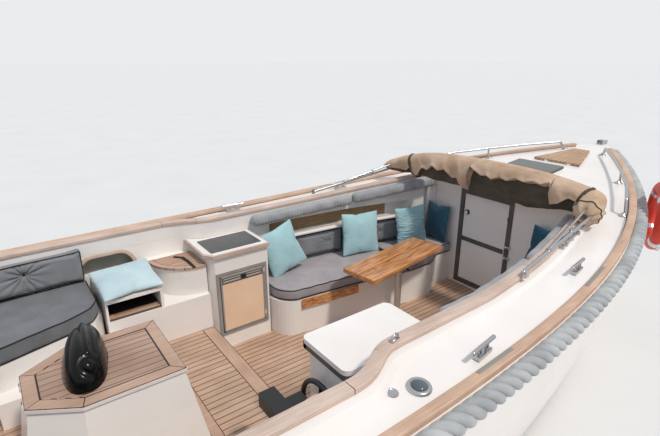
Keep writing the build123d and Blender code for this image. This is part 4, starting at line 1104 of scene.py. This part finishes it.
def hood_spot(y, degrees, hem, under):
    """A point of the bundle at a place along it and an angle from the top."""
    at = np.interp(y, hood_span, np.arange(HOOD_RINGS))
    i = int(min(at, HOOD_RINGS - 2))
    middle, half = hood_rings[i] * (1 - (at - i)) + hood_rings[i + 1] * (at - i)
    grow, full = share_of(degrees, 30, 75), min(1.0, half[2] / 0.12)
    if under:
        slack = 0.012 * (ridge(y * 2.1 + degrees / 190, 1.0) - 0.5)
        slack += 0.006 * (ridge(y * 5.3 - degrees / 240, 1.5) - 0.4)
        depth = slack * share_of(degrees, 60, 100) - 0.058 * share_of(degrees, 180, 135) * full
    else:
        broad = ridge(y * 2.6 + 0.35 * math.sin(4 * y) - degrees / 210, 1.6)
        fine = ridge(y * 6.7 + degrees / 150 + 0.2, 2.5)
        depth = grow * (0.026 * (broad - 0.45) + 0.010 * (fine - 0.3)) * full
        depth += 0.008 * max(0.0, 1 - abs(degrees - hem) / 14)
    depth -= 0.0035 * math.exp(-((degrees - 27) / 1.8) ** 2)
    depth += 0.004 * noise.noise(Vector((y * 8, degrees * 0.02, 1.7))) * grow
    turn = math.radians(degrees)
    return middle[0] - math.sin(turn) * (half[0] + depth), y, middle[2] + math.cos(turn) * (half[2] + depth)


hem_y, hem_degrees = zip(*HEM)
rows = []
for y in hood_span:
    hem = float(np.interp(y, hem_y, hem_degrees))
    ring = [hood_spot(y, d, hem, False) for d in np.linspace(FIRST, hem, OVER)]
    ring += [hood_spot(y, d, hem, True) for d in np.linspace(hem - 4, 360 + FIRST, UNDER, endpoint=False)]
    rows.append(ring)
rows = np.array(rows)
for step in range(DRAWN_RINGS):
    keep = math.sqrt(1 - (1 - step / DRAWN_RINGS) ** 2) * 0.72 + 0.28
    for index in (step, HOOD_RINGS - 1 - step):
        rows[index] = rows[index].mean(axis=0) * (1, 0, 1) * (1 - keep) + rows[index] * (keep, 1, keep)
hood = grid_piece("hood_canvas_folded", rows)
hand_over(hood, "hood_canvas_folded", CANVAS, body="hood", replaces="hood_canvas")
# Faces of the under layer next to the hem take the darker canvas copy: painted shade.
hood.data.materials.append(CANVAS_PAINTED_SHADE)
for face in hood.data.polygons:
    face.material_index = int(all(OVER <= v % (OVER + UNDER) < OVER + UNDER * 0.55 for v in face.vertices))
print("hood faces", len(hood.data.polygons))

# %% [markdown]
# At its starboard end the spare canvas is gathered into a pouch that swallows the tubes. It is a
# ball of cloth whose folds run from its mouth to its rim: a sphere with its rings pushed in and out
# by creases that fan from the mouth, and a dark binding sewn round the rim.

# %% Pouch at the hood's end
POUCH_AT, POUCH_SIZE = (1.915, -0.930, 1.272), (0.098, 0.100, 0.104)
MOUTH = Vector((-0.80, -0.10, -0.25)).normalized()
RIM_ROW = 15
pouch_turn = np.array(MOUTH.to_track_quat("Z", "Y").to_matrix())
rows = []
for t in np.linspace(0.30, math.pi - 0.02, 44):
    ring = []
    for a in turns(84):
        fan = ridge(a * 9 / (2 * math.pi) + 0.25 * math.sin(2 * a) + 0.12 * t, 1.4)
        cloud = noise.noise(Vector((math.cos(a) * 2, math.sin(a) * 2, t * 2)))
        size = 1.0 + (0.13 * (fan - 0.5) + 0.05 * cloud) * math.sin(t) ** 0.5
        size *= 1.0 + 0.10 * math.exp(-((t - 1.9) / 0.12) ** 2)
        way = pouch_turn @ np.array((math.sin(t) * math.cos(a), math.sin(t) * math.sin(a), math.cos(t)))
        ring.append(way * POUCH_SIZE * size + POUCH_AT)
    rows.append(np.array(ring))
hub = rows[0].mean(axis=0)
throat = [hub + (rows[0] - hub) * wide - np.array(MOUTH) * deep
          for wide, deep in ((0.80, 0.05), (0.92, 0.012))]
hand_over(grid_piece("pouch", throat + rows), "hood_end_pouch", CANVAS, body="hood")
rim = rod("pouch_rim", rows[RIM_ROW], 0.0055, sides=6, closed=True)
hand_over(rim, "hood_pouch_binding", BINDING, body="hood")


# %% [markdown]
# Two strips of dark binding go round the bundle near its ends, where the canvas is sewn to its bow.

# %% Bindings round the hood
STRAP_WIDE, STRAP_THICK = 0.022, 0.007
for name, y_top, y_foot in (("hood_strap_starboard", -0.895, -0.835), ("hood_strap_port", 0.80, 0.72)):
    rows = []
    for degrees in np.linspace(0, 360, 90, endpoint=False):
        turn = math.radians(degrees)
        out = np.array((-math.sin(turn), 0, math.cos(turn)))
        y = y_top + (y_foot - y_top) * math.sin(turn / 2)
        foot, head = [np.array(hood_spot(y + half * STRAP_WIDE, degrees, 400.0, False))
                      for half in (-0.5, 0.5)]
        rows.append([foot, foot + out * STRAP_THICK, head + out * STRAP_THICK, head])
    hand_over(grid_piece(name, rows, closed_along=True), name, BINDING, body="hood")

# %% [markdown]
# The bow is not alone under the canvas. On each side a second tube is clamped to its leg and runs up
# into the bundle. To starboard a short strut with a knuckle hangs down on the deck.

# %% Stays and clamps of the hood
stays = []
for side in (1, -1):
    foot, head = np.array((1.20, side * 1.047, 1.186)), np.array((1.83, side * 0.955, 1.315))
    stays.append(rod("stay", np.linspace(foot, head, 6), 0.0085, sides=14))
    for share in (0.0, 0.52):
        spot = foot + (head - foot) * share
        up_bow = (spot[0] - 0.88) / 0.97
        leg = np.array((spot[0], side * (1.078 - up_bow * 0.093), 1.135 + up_bow * 0.127))
        stays.append(rod("clamp", [leg - (0, 0, 0.012), spot + (0, 0, 0.012)], 0.011, sides=12))
        stays.append(rod("bolt", [spot - (0, 0.022, 0), spot + (0, 0.022, 0)], 0.006, sides=10))
top, knee, eye = [np.array(p) for p in ((1.845, -0.955, 1.235), (1.64, -0.985, 1.185), (1.46, -1.005, 1.150))]
stays += [
    rod("strut_upper", [top, knee], 0.010, sides=12),
    rod("strut_lower", [knee - (0, 0.016, 0), eye - (0, 0.016, 0)], 0.010, sides=12),
    rod("strut_knuckle", [knee - (0, 0.034, 0), knee + (0, 0.018, 0)], 0.017, sides=14),
    rod("strut_eye", [eye - (0, 0.030, 0), eye + (0, 0.004, 0)], 0.014, sides=14),
]
for stay in stays:
    ease(stay, 0.002, 2, 50)
hand_over(stays, "hood_stays", STEEL, CREASED, body="hood")

# %% [markdown]
# A teak cap closes the top of the coaming. It is glued up from boards of one section whose ends
# meet in tight black joints, so each board is its own moulding between two joints, over a strip of
# caulking that shows through the gaps. The CAD cap gives its line.

# %% Coaming cap
CAP_WIDE = 0.070
CAP_JOINTS = (1.02, -0.279, -0.521, -1.85, -3.16)
cap_line = []
for x in np.arange(2.15, -3.20, -0.03):
    port = side_section("coaming_cap", x)
    cap_line.append((x, port[:, 1].min(), port[:, 2].max()))
cap_line = np.array(cap_line)
stern_cut = section("coaming_cap", 1, 0.0)
corner = np.array((stern_cut[:, 0].max(), cap_line[-1, 1] - 0.02, cap_line[-1, 2]))
half = np.vstack([rounded(cap_line, 1), corner])
whole = rounded(even(np.vstack([half, half[::-1] * (1, -1, 1)]), 0.024), 3)
cap_height = float(np.ptp(stern_cut[:, 2]))
cuts = [0]
for side in (1, -1):
    for x in CAP_JOINTS[::side]:
        away = np.abs(whole[:, 0] - x) + 10 * (whole[:, 1] * side < 0)
        cuts.append(int(away.argmin()))
cuts.append(len(whole) - 1)
boards = []
for a, b in zip(cuts, cuts[1:]):
    line = whole[a:b + 1].copy()
    line[0] += (line[1] - line[0]) * 0.06
    line[-1] += (line[-2] - line[-1]) * 0.06
    boards.append(moulding("cap_board", line, bar(CAP_WIDE, cap_height, 0.005), 1))
hand_over(boards, "coaming_cap_boards", CAP_TEAK, CREASED, replaces="coaming_cap")
under = [(a * 0.96 + 0.0014, b * 0.95 - 0.0012) for a, b in bar(CAP_WIDE, cap_height, 0.004)]
hand_over(moulding("cap_caulking", whole, under, 1), "cap_caulking", CAULK)
print("cap boards", len(boards), "points", len(whole))

# %% [markdown]
# The toe rail is a bar of lighter teak bent round the deck's edge. Its inner edge is bedded in black
# sealant, and beside each cleat a steel strip keeps the mooring line from wearing the wood.

# %% Toe rail
RAIL_WIDE, RAIL_TALL = 0.054, 0.045
STRIPS = ((1.10, 1.41), (0.00, 0.28), (-3.02, -2.74))      # from aft to forward, beside the cleats
rail_line = []
for x in np.arange(3.88, -4.085, -0.06):
    port = side_section("toe_rail", x)
    rail_line.append((x, port[:, 1].max() - min(RAIL_WIDE, np.ptp(port[:, 1]) * 0.8), port[:, 2].max()))
rail_line = rounded(even(np.array(rail_line), 0.03), 2)
bars, seams, strips = [], [], []
for side in (1, -1):
    line = rail_line * (1, side, 1)
    bars.append(moulding("rail", line, bar(RAIL_WIDE, RAIL_TALL, 0.007), side))
    seams.append(moulding("rail_seam", line - (0, 0.0055 * side, 0.0285), bar(0.010, 0.014, 0.002), side))
    for aft, forward in STRIPS:
        near = line[(line[:, 0] > aft) & (line[:, 0] < forward)]
        strips.append(moulding("strip", near + (0, 0.007 * side, 0.003), bar(0.020, 0.012, 0.002), side))
hand_over(bars, "toe_rail_bars", RAIL_TEAK, CREASED, replaces="toe_rail")
hand_over(seams, "toe_rail_seams", CAULK, CREASED)
hand_over(strips, "toe_rail_strips", BRUSHED, CREASED)
print("toe rail points", len(rail_line), "strips", len(STRIPS) * 2)

# %% [markdown]
# Planked pieces have a frame of wider margin boards round them, mitred at the corners, so that no
# plank end is left open to the weather. The lid of the engine box is the clearest case. Its planks
# are in the finish; the boards are real plates laid on it, with the caulking showing between them.
# Short nibs of the margin reach in between the planks along its two slanted sides.

# %% Margins of the engine lid
LID_TOP = float(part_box("engine_box_lid")[1][2])
LID_OUTLINE = [(-0.894, 0.291), (-1.3874, 0.291), (-1.611, 0.151),
               (-1.611, -0.151), (-1.3874, -0.291), (-0.894, -0.291)]
LID_MARGIN = 0.066
NIB_DEEP = 0.010
margins = ring_boards(LID_OUTLINE, LID_MARGIN)
wider = [[a, b, c + (c - b) * 0.09, d + (d - a) * 0.09] for a, b, c, d in margins]
inlay("engine_lid_margins", margins, LID_TOP, 0.0022, MARGIN_TEAK, 0.0022, 0.001, "engine_lid")
inlay("engine_lid_caulking", wider, LID_TOP, 0.0010, CAULK, body="engine_lid")
nibs = []
for side in (1, -1):
    start, stop = inset(LID_OUTLINE, LID_MARGIN)[1:3] * (1, side)
    for share in (0.10, 0.42, 0.74):
        a, b = start + (stop - start) * share, start + (stop - start) * (share + 0.20)
        nibs.append([a, b, b - (0, NIB_DEEP * side), a - (0.004, NIB_DEEP * side)])
inlay("engine_lid_nibs", nibs, LID_TOP, 0.0020, MARGIN_TEAK, 0.0006, body="engine_lid")
edge_rows = [[(*outer, 0.7635), (*outer, 0.7815), (*inner, 0.7815), (*inner, 0.7635)]
             for inner, outer in zip(inset(LID_OUTLINE, 0.0005), inset(LID_OUTLINE, -0.0022))]
edge = grid_piece("lid_edge", edge_rows, closed_along=True)
hand_over(edge, "engine_lid_edge", WHITE, FLAT, body="engine_lid")

# %% [markdown]
# The black cowl on the lid is a moulded shell. A rib between two grooves runs along it from its far
# end to a blunt tip, and its near end has a sunk ring with a ball in it. A finely divided sphere is
# pressed to the shell's size, and its points are then moved along their normals by those forms. The
# sizes of the forms, and their places on the shell, are in millimetres.

# %% Cowl
COWL_AT, COWL_TURN = (-1.310, 0.070), -10
COWL_HALF = np.array((0.104, 0.272, 0.170))
RIB_FROM, RIB_TO = (28, -158), (-4, 182)      # across and along the shell
RIB_TALL, RIB_WIDE = 8.0, 12
GROOVE_AWAY, GROOVE_WIDE, GROOVE_DEEP = 27, 10, 6.0
RING_AT, RING_HALF, RING_DEEP = (30, -205), (52, 46), 8.0
BALL_SHARE, BALL_TALL = 0.62, 17.0

bpy.ops.mesh.primitive_uv_sphere_add(segments=150, ring_count=110, radius=1.0)
cowl = bpy.context.object
x, y, z = (spots_of(cowl)[:, [0, 2, 1]] * (1, 1, -1)).T
z = np.where(z > 0, np.sqrt(np.clip(1 - np.hypot(x, y) ** 2.6, 0, 1)), z * 0.01)
near_end = np.clip(-y, 0, 0.999)
x = x * np.minimum((1 - near_end ** 3.2) ** 0.4545 / np.sqrt(1 - near_end ** 2), 1.4)
set_spots(cowl, np.stack([x, y, z], axis=1) * COWL_HALF)
turn_outward(cowl)
across, along = x * COWL_HALF[0] / MM, y * COWL_HALF[1] / MM
from_rib = across - np.interp(along, (RIB_FROM[1], RIB_TO[1]), (RIB_FROM[0], RIB_TO[0]))
fade = 1 / (1 + np.exp(-(along + 150) / 4)) * np.clip((255 - along) / 60, 0, 1)
lift = RIB_TALL * np.exp(-(from_rib / RIB_WIDE) ** 2) * fade
for away in (-GROOVE_AWAY, GROOVE_AWAY):
    lift -= GROOVE_DEEP * np.exp(-((from_rib - away) / GROOVE_WIDE) ** 2) * fade
reach = np.hypot((across - RING_AT[0]) / RING_HALF[0], (along - RING_AT[1]) / RING_HALF[1])
lift -= RING_DEEP / (1 + np.exp((reach - 1.0) * 22))
lift += BALL_TALL * np.sqrt(np.clip(1 - (reach / BALL_SHARE) ** 2, 0, 1))
lift *= np.clip(z * 4, 0, 1)
shell = spots_of(cowl) + normals_of(cowl) * lift[:, None] * MM
set_spots(cowl, shell @ yaw(COWL_TURN) + (*COWL_AT, LID_TOP + 0.001))
hand_over(cowl, "air_cowl_shell", GLOSS_BLACK, body="engine_lid", replaces="engine_air_cowl")
rim = np.array([(0.103 * math.cos(t), 0.271 * math.sin(t), 0.003) for t in turns(90)])
gasket = rod("gasket", rim @ yaw(COWL_TURN) + (*COWL_AT, LID_TOP), 0.0035, closed=True)
hand_over(gasket, "air_cowl_gasket", RUBBER, body="engine_lid")
print("cowl faces", len(cowl.data.polygons), "lift in mm", np.round((lift.min(), lift.max()), 1))

# %% [markdown]
# The after sole ends in a nosing board over the step down, and a margin board runs round the foot
# of the engine box. The steps have the same margins, curved where the step is a quarter round. Dark
# plates inside the locker under the low step paint the shade in its deep inside.

# %% Margins of the sole and the steps
SOLE_TOP, TREAD_TOP, LOW_TOP = 0.330, 0.848, 0.636
nosing = [(-0.361, 0.688), (-0.361, -0.62), (-0.452, -0.62), (-0.452, 0.688)]
foot = [(-0.758, 0.420), (-0.822, 0.420), (-0.822, -0.362), (-1.40, -0.362), (-1.40, -0.424)]
foot += arc((-0.808, -0.374), 0.050, -90, 0, 8)
for number, (outline, finish) in enumerate(((nosing, CROSS_TEAK), (foot, MARGIN_TEAK))):
    inlay(f"sole_board_{number}", [outline], SOLE_TOP, 0.0022, finish, 0.0022, 0.001)
    inlay(f"sole_board_caulk_{number}", [outline], SOLE_TOP, 0.0010, CAULK, -0.0022)
margins, seams = [], []
for corner, radius, start in (((-0.364, 1.065), 0.336, 180), ((-0.500, -1.165), 0.246, 90)):
    outer, board, seam = [arc(corner, radius - less, start, start + 90) for less in (0.001, 0.040, 0.0445)]
    margins.append(outer + board[::-1])
    seams.append(outer + seam[::-1])
inlay("tread_margins", margins, TREAD_TOP, 0.0020, CROSS_TEAK, 0.0008, 0.001)
inlay("tread_caulking", seams, TREAD_TOP, 0.0009, CAULK)
grip = [(-0.500, 1.030), (-0.446, 0.975), (-0.437, 0.880), (-0.437, 0.735),
        (-0.462, 0.737), (-0.464, 0.870), (-0.474, 0.960), (-0.520, 1.012)]
inlay("tread_grip_strip", [grip], TREAD_TOP, 0.004, RUBBER, 0.0, 0.0015)
low_boards = ring_boards([(-1.072, 0.722), (-0.728, 0.722), (-0.728, 1.10), (-1.072, 1.10)], 0.034)
del low_boards[2]
inlay("low_tread_margins", low_boards, LOW_TOP, 0.0020, CROSS_TEAK, 0.0012, 0.001)
# Dark plates on the locker's floor, back and roof: painted shade.
lining = blocks(0.001, ((-1.072, 0.790, 0.6365), (-0.728, 1.142, 0.6390)),
                ((-1.070, 1.140, 0.640), (-0.730, 1.146, 0.757)),
                ((-1.072, 0.740, 0.752), (-0.728, 1.15, 0.7585)))
hand_over(lining, "locker_painted_shade_plates", LOCKER_PAINTED_SHADE, FLAT)

# %% [markdown]
# Behind the shelf cushion an arched niche is let into the wall. A bent teak surround hides the cut
# edge of the moulding, and the inside is lined in grey-green. The open shelf behind the dinette is
# lined with brown teak and has a white moulded lip over the back cushions.

# %% Niche and shelf
NICHE_BACK, NICHE_DEEP = 1.2385, 0.060
arch = [(-1.160, 0.792), (-1.160, 0.850), (-1.100, 0.930), (-0.830, 0.930), (-0.770, 0.850), (-0.770, 0.792)]
bend = rounded(even([(x, 0.0, z) for x, z in arch], 0.012), 14)
way = units(np.gradient(bend, axis=0))
outward = np.stack([-way[:, 2], way[:, 0] * 0, way[:, 0]], axis=1)
profile = [(-0.004, 1.160), (-0.004, 1.176), (0.024, 1.176), (0.024, 1.163), (0.020, 1.159), (0.000, 1.157)]
rows = [[spot + out * a + np.array((0, b, 0)) for a, b in profile] for spot, out in zip(bend, outward)]
hand_over(grid_piece("surround", rows), "niche_surround", CAP_TEAK, CREASED)
skin = [(x * 0.996 - 0.965 * 0.004, z) for x, z in arch]
back = lay(plates("back", [skin], 0.0, 0.003, 0.0015), (0, NICHE_BACK, 0), (1, 0, 0), (0, 0, 1))
hand_over(back, "niche_back", NICHE_GREY, FLAT)
walls = []
for (x0, z0), (x1, z1) in zip(skin, skin[1:]):
    a, b = np.array((x0, 0, z0)), np.array((x1, 0, z1))
    run = np.linalg.norm(b - a)
    along = (b - a) / run
    normal = np.array((along[2], 0, -along[0]))
    wall = plates("wall", [[(0, 0), (run, 0), (run, NICHE_DEEP), (0, NICHE_DEEP)]], 0.0, 0.0015)
    walls.append(lay(wall, a + (0, 1.178, 0) + normal * 0.002, along, (0, 1, 0)))
hand_over(walls, "niche_walls", NICHE_GREY, FLAT)

shelf_line = []
for x in np.arange(0.175, 1.905, 0.05):
    port = side_section("seat_back_pads", min(max(x, 0.18), 1.895))
    if len(port):
        shelf_line.append((x, port[:, 1].max(), 0.0))
lip_line = rounded(np.array(shelf_line), 2)
lip = moulding("lip", lip_line + (0, -0.046, 0.816), bar(0.050, 0.026, 0.008), 1)
hand_over(lip, "shelf_lip", WHITE)
board = moulding("board", lip_line[4:-4] + (0, 0.004, 0.797), bar(0.078, 0.006, 0.001), 1)
back = moulding("back", lip_line[4:-4] + (0, 0.080, 0.926), bar(0.004, 0.130, 0.001), 1)
hand_over([board, back], "shelf_lining", SHELF_TEAK, FLAT)

# %% [markdown]
# The fridge has a grey metal surround, a black seal between surround and door, and a grey trim
# strip across the top of the door with two grips of light metal and a black latch between them.

# %% Fridge trim
DOOR_FACE = 0.676        # where the fridge door's face lies across the boat


def door_blocks(edge, proud, sunk, *fronts):
    """Blocks on the fridge door from their left, right, foot and top, proud of its face and sunk in it."""
    near, far = DOOR_FACE - proud, DOOR_FACE + sunk
    return blocks(edge, *[((x0, near, z0), (x1, far, z1)) for x0, x1, z0, z1 in fronts])


SEAL = ((-0.284, 0.094, 0.7345, 0.7395), (-0.284, 0.094, 0.2505, 0.2555),
        (-0.2845, -0.2795, 0.2505, 0.7395), (0.0895, 0.0945, 0.2505, 0.7395))
EDGING = ((-0.281, 0.091, 0.724, 0.7345), (-0.281, 0.091, 0.2555, 0.266),
          (-0.281, -0.269, 0.2555, 0.7345), (0.079, 0.091, 0.2555, 0.7345))
seal = blocks(0.001, *[((x0, 0.6815, z0), (x1, 0.6895, z1)) for x0, x1, z0, z1 in SEAL])
edging = door_blocks(0.0012, 0.0035, 0.004, *EDGING)
strip = door_blocks(0.0015, 0.003, 0.003, (-0.268, 0.078, 0.676, 0.7235))
grips = door_blocks(0.0022, 0.0075, -0.002, (-0.262, -0.118, 0.6825, 0.6965), (-0.064, 0.070, 0.6825, 0.6965))
grips += door_blocks(0.0015, 0.006, -0.002, (-0.262, -0.118, 0.708, 0.716), (-0.064, 0.070, 0.708, 0.716))
latch = door_blocks(0.0015, 0.0055, -0.002, (-0.108, -0.074, 0.684, 0.716))
latch += door_blocks(0.0006, 0.0036, 0.001, (-0.268, 0.078, 0.6735, 0.6765))
hand_over(seal, "fridge_seal", RUBBER, FLAT)
hand_over(edging, "fridge_door_edging", FRAME_GREY, FLAT, body="fridge_door")
hand_over(strip, "fridge_strip", ALLOY, FLAT, body="fridge_door")
hand_over(grips, "fridge_grips", LIGHT_ALLOY, FLAT, body="fridge_door")
hand_over(latch, "fridge_latch", SATIN_BLACK, FLAT, body="fridge_door")

# %% [markdown]
# The cuddy door is a white panel with a dark rail across it, a black knob and two hinges on the
# frame. The wall and the bulkhead meet in a wide smooth cove, because a mould needs round corners.

# %% Cuddy door and bulkhead
COVE_R = 0.085
rail = blocks(0.002, ((2.1515, -0.1470, 0.588), (2.1605, 0.3245, 0.632)))
hand_over(rail, "cuddy_door_rail", GREY_TRIM, FLAT, body="cuddy_door")
KNOB = [(0.0235, 0.0), (0.0250, 0.006), (0.0240, 0.014), (0.0190, 0.019), (0.0100, 0.021)]
knob = disc("knob", (2.160, 0.285, 0.890), (-1, 0, 0), KNOB)
hand_over(knob, "cuddy_door_knob", SATIN_BLACK, body="cuddy_door")
BOSS = [(0.014, 0.0), (0.014, 0.010), (0.010, 0.014), (0.004, 0.015)]
hinges = []
for z in (0.672, 0.565):
    hinges += blocks(0.003, ((2.138, -0.222, z - 0.012), (2.152, -0.168, z + 0.012)))
    hinges.append(disc("hinge_boss", (2.140, -0.184, z), (-1, 0, 0), BOSS, 20))
hand_over(hinges, "cuddy_door_hinges", STEEL, CREASED)

covers = []
for side in (1, -1):
    rows = []
    for z in np.linspace(0.54, 1.085, 12):
        ring = [(2.1590, side * 0.7590, z)]
        for t in np.linspace(0, math.pi / 2, 9):
            x, y = 2.1585 - COVE_R * (1 - math.sin(t)), 0.7765 - COVE_R * (1 - math.cos(t))
            ring.append((x, side * y, z))
        rows.append(ring)
    covers.append(grid_piece("cove", rows))
hand_over(covers, "bulkhead_coves", WHITE)

# %% [markdown]
# The table is two thick planks of dark-grained hardwood with a gap between them. Their long edges
# are left a little uneven, as sawn, and then rounded over and varnished.

# %% Table
TABLE_AT, TABLE_TURN = (1.170, 0.262, 0), 9
PLANK_LOW, PLANK_HIGH = 0.640, 0.682


def plank(length, y0, y1, seed):
    """A thick board with slightly wandering edges, cut along X and centred on nought."""
    xs = np.linspace(-length / 2, length / 2, 40)
    broad = [0.0035 * noise.noise(Vector((x * 6, seed, 0.3))) for x in xs]
    drift = [b + 0.0015 * noise.noise(Vector((x * 22, seed, 2.3))) for x, b in zip(xs, broad)]
    outline = [(x, y0 + 0.002 + d) for x, d in zip(xs, drift)]
    outline += [(x, y1 - 0.002 + d) for x, d in zip(xs[::-1], drift[::-1])]
    piece = plates("plank", [outline], PLANK_LOW, PLANK_HIGH)
    ease(piece, 0.005, 3, 60)
    return piece


top = joined([plank(0.996, -0.170, -0.003, 4.1), plank(0.990, 0.003, 0.170, 7.7)])
set_spots(top, spots_of(top) @ yaw(TABLE_TURN) + TABLE_AT)
hand_over(top, "table_planks", VARNISH, CREASED, replaces="table_top")
hand_over(blocks(0.002, ((1.19, 0.10, 0.628), (1.31, 0.46, 0.6398))), "table_bracket", ALLOY, FLAT)

# %% [markdown]
# The console lid closes on a deep grey-brown sill that shows as a band under its edge.

# %% Console sill
sill = blocks(0.003, ((-0.366, -0.975, 0.868), (-0.347, -0.606, 0.9112)),
              ((0.212, -0.975, 0.868), (0.231, -0.606, 0.9112)),
              ((-0.366, -0.638, 0.868), (0.231, -0.608, 0.9112)))
hand_over(sill, "console_sill", GREY_TRIM, FLAT)

# %% [markdown]
# Deck fittings: a glass dome in a steel ring, its closed twin to port, a filler cap with a sunk
# middle, and the feet of the bow rails. Each stands square to the deck where it is screwed down.

# %% Deck fittings
DOME = [(0.0560, 0.0), (0.0560, 0.007), (0.0520, 0.014), (0.0450, 0.017)]
CAP = [(0.0260, 0.0), (0.0260, 0.006), (0.0235, 0.0095), (0.0180, 0.0100), (0.0160, 0.0085), (0.0060, 0.0085)]
GLASS = [(0.0375, 0.010), (0.0370, 0.015), (0.0300, 0.0215), (0.0180, 0.0250), (0.0060, 0.0260)]
RAIL_FOOT = [(0.034, 0.0), (0.034, 0.006), (0.026, 0.011), (0.017, 0.014), (0.014, 0.024)]


def on_deck(x, y, profile, sides, sunk=0.002):
    """A turned piece square to the deck, a little sunk in it."""
    spot, up = surface_tree(nodes["deck"]).ray_cast(Vector((x, y, 2.0)), Vector((0, 0, -1)))[:2]
    return disc("fitting", np.array(spot) - np.array(up) * sunk, np.array(up), profile, sides)


ring = on_deck(-0.240, -1.310, DOME + [(0.0380, 0.016), (0.0360, 0.012)], 40)
hand_over([ring, on_deck(-0.357, -1.272, CAP, 32)], "deck_fittings", STEEL, CREASED, replaces="deck_caps")
hand_over(on_deck(-0.240, -1.310, GLASS, 40, 0.0), "dome_glass", GLASS_GREY)
hand_over(on_deck(-0.240, 1.310, DOME + [(0.0120, 0.0175)], 40), "deck_fitting_port", STEEL)
feet = [on_deck(x, y * side * 0.985, RAIL_FOOT, 24, 0.003)
        for side in (1, -1) for x, y in ((2.352, 1.018), (2.985, 0.690), (3.698, 0.207))]
hand_over(feet, "bow_rail_feet", STEEL)

# %% [markdown]
# A small fairlead for a sheet or a fender line stands on the coaming cap beside the console. It is
# cast in steel: a narrow foot, and two horns that lean together over a slot.

# %% Cap fairlead
LEAD_AT, LEAD_TURN = np.array((-0.167, -1.084, 1.092)), math.radians(14)
HORN = ((0.024, 0.0), (0.026, 0.014), (0.020, 0.026), (0.007, 0.033))     # away from the middle, up
lead_u = np.array((math.cos(LEAD_TURN), math.sin(LEAD_TURN), 0.0))
lead = [rod("lead_foot", [LEAD_AT - lead_u * 0.030, LEAD_AT + lead_u * 0.030], 0.008, sides=12)]
for side in (1, -1):
    horn = [LEAD_AT + lead_u * side * away + (0, 0, high) for away, high in HORN]
    lead.append(rod("lead_horn", rounded(even(horn, 0.004), 2), 0.0055, sides=12))
hand_over(lead, "cap_fairlead", STEEL)

# %% [markdown]
# The lifebuoy is a hard orange shell with four bands of silver tape and a white grab line that is
# seized to it beside each band and hangs slack between them.

# %% Lifebuoy
BUOY_AT, BUOY_TURN = np.array((2.690, -1.122, 1.130)), math.radians(27)
BUOY_RING, BUOY_TUBE = 0.225, 0.052
BUOY_OUT = np.array((math.sin(BUOY_TURN), -math.cos(BUOY_TURN), 0.0))


def buoy_way(turn):
    """The way from the lifebuoy's middle to its rim at one angle."""
    flat, up = math.cos(turn), math.sin(turn)
    return np.array((math.cos(BUOY_TURN) * flat, math.sin(BUOY_TURN) * flat, up))


def buoy_row(turn, swell):
    """A ring of points round the lifebuoy's tube, flattened a little from front to back."""
    away, tube = buoy_way(turn), BUOY_TUBE * swell
    return [BUOY_AT + away * (BUOY_RING + tube * math.cos(t)) + BUOY_OUT * tube * 0.9 * math.sin(t)
            for t in turns(28)]


shell = grid_piece("shell", [buoy_row(t, 0.985) for t in turns(72)], closed_along=True)
hand_over(shell, "lifebuoy_shell", ORANGE, replaces="lifebuoy")
bands, loops = [], []
for k in range(4):
    offsets = np.linspace(-0.112, 0.112, 9)
    rows = [buoy_row(math.radians(45 + 90 * k) + d, 0.985 if abs(d) > 0.105 else 1.005) for d in offsets]
    bands.append(grid_piece("band", rows))
    line = []
    for share in np.linspace(0, 1, 24):
        slack = 0.020 * math.sin(math.pi * share)
        reach = BUOY_RING + BUOY_TUBE * 0.72 + slack * 0.35
        spot = BUOY_AT + buoy_way(math.radians(52 + 90 * k + 76 * share)) * reach
        line.append(spot + BUOY_OUT * BUOY_TUBE * 0.78 - (0, 0, slack * 0.5))
    loops.append(rod("loop", line, 0.0045))
hand_over(bands, "lifebuoy_bands", SILVER)
hand_over(loops, "lifebuoy_line", LINE_WHITE)

# %% [markdown]
# The studio is a pale floor at the waterline and an even pale backdrop. The key light is a wide
# sun from high on the starboard bow, as in the photograph, and the world fills the shadows. Camera,
# mirror and clear rays see the backdrop at the floor's own tone, and other rays see the soft fill.

# %% Floor and light
SUN_WAY, SUN_POWER, SUN_WIDE = Vector((-0.16, 0.52, -0.84)), 2.17, math.radians(6)
FILL_POWER = 0.80

bpy.ops.mesh.primitive_plane_add(size=400, location=(0, 0, 0))
floor = bpy.context.object
floor.name = "floor"
floor_finish, floor_tree, floor_shader, floor_place = surface("studio_floor", "#DADAD8", 0.9)
floor_tone, _ = patches(floor_tree, floor_place, 900, "#D8D8D6", "#DCDCDA")
paint(floor_tree, floor_shader, floor_tone)
floor.data.materials.append(floor_finish)

world = bpy.data.worlds.new("studio")
world.use_nodes = True
bpy.context.scene.world = world
sky_tree = world.node_tree
rays = add(sky_tree, "LightPath", {}).node.outputs
seen = add(sky_tree, "Math", {0: rays["Is Camera Ray"], 1: rays["Is Glossy Ray"]}, operation="MAXIMUM")
seen = add(sky_tree, "Math", {0: seen, 1: rays["Is Transmission Ray"]}, operation="MAXIMUM")
backdrop = add(sky_tree, "Background", {"Color": linear("#EBECED"), "Strength": 1.0})
fill = add(sky_tree, "Background", {"Color": linear("#D9E3F3"), "Strength": FILL_POWER})
both = add(sky_tree, "MixShader", {0: seen, 1: fill, 2: backdrop})
sky_tree.links.new(both, sky_tree.nodes["World Output"].inputs["Surface"])

bpy.ops.object.light_add(type="SUN", location=(2, -4, 6))
sun = bpy.context.object
sun.name = "sun_softbox"
sun.data.energy = SUN_POWER
sun.data.angle = SUN_WIDE
sun.data.color = linear("#FFF7EC")[:3]
sun.rotation_euler = SUN_WAY.to_track_quat("-Z", "Y").to_euler()
bpy.context.scene.view_settings.view_transform = "Standard"
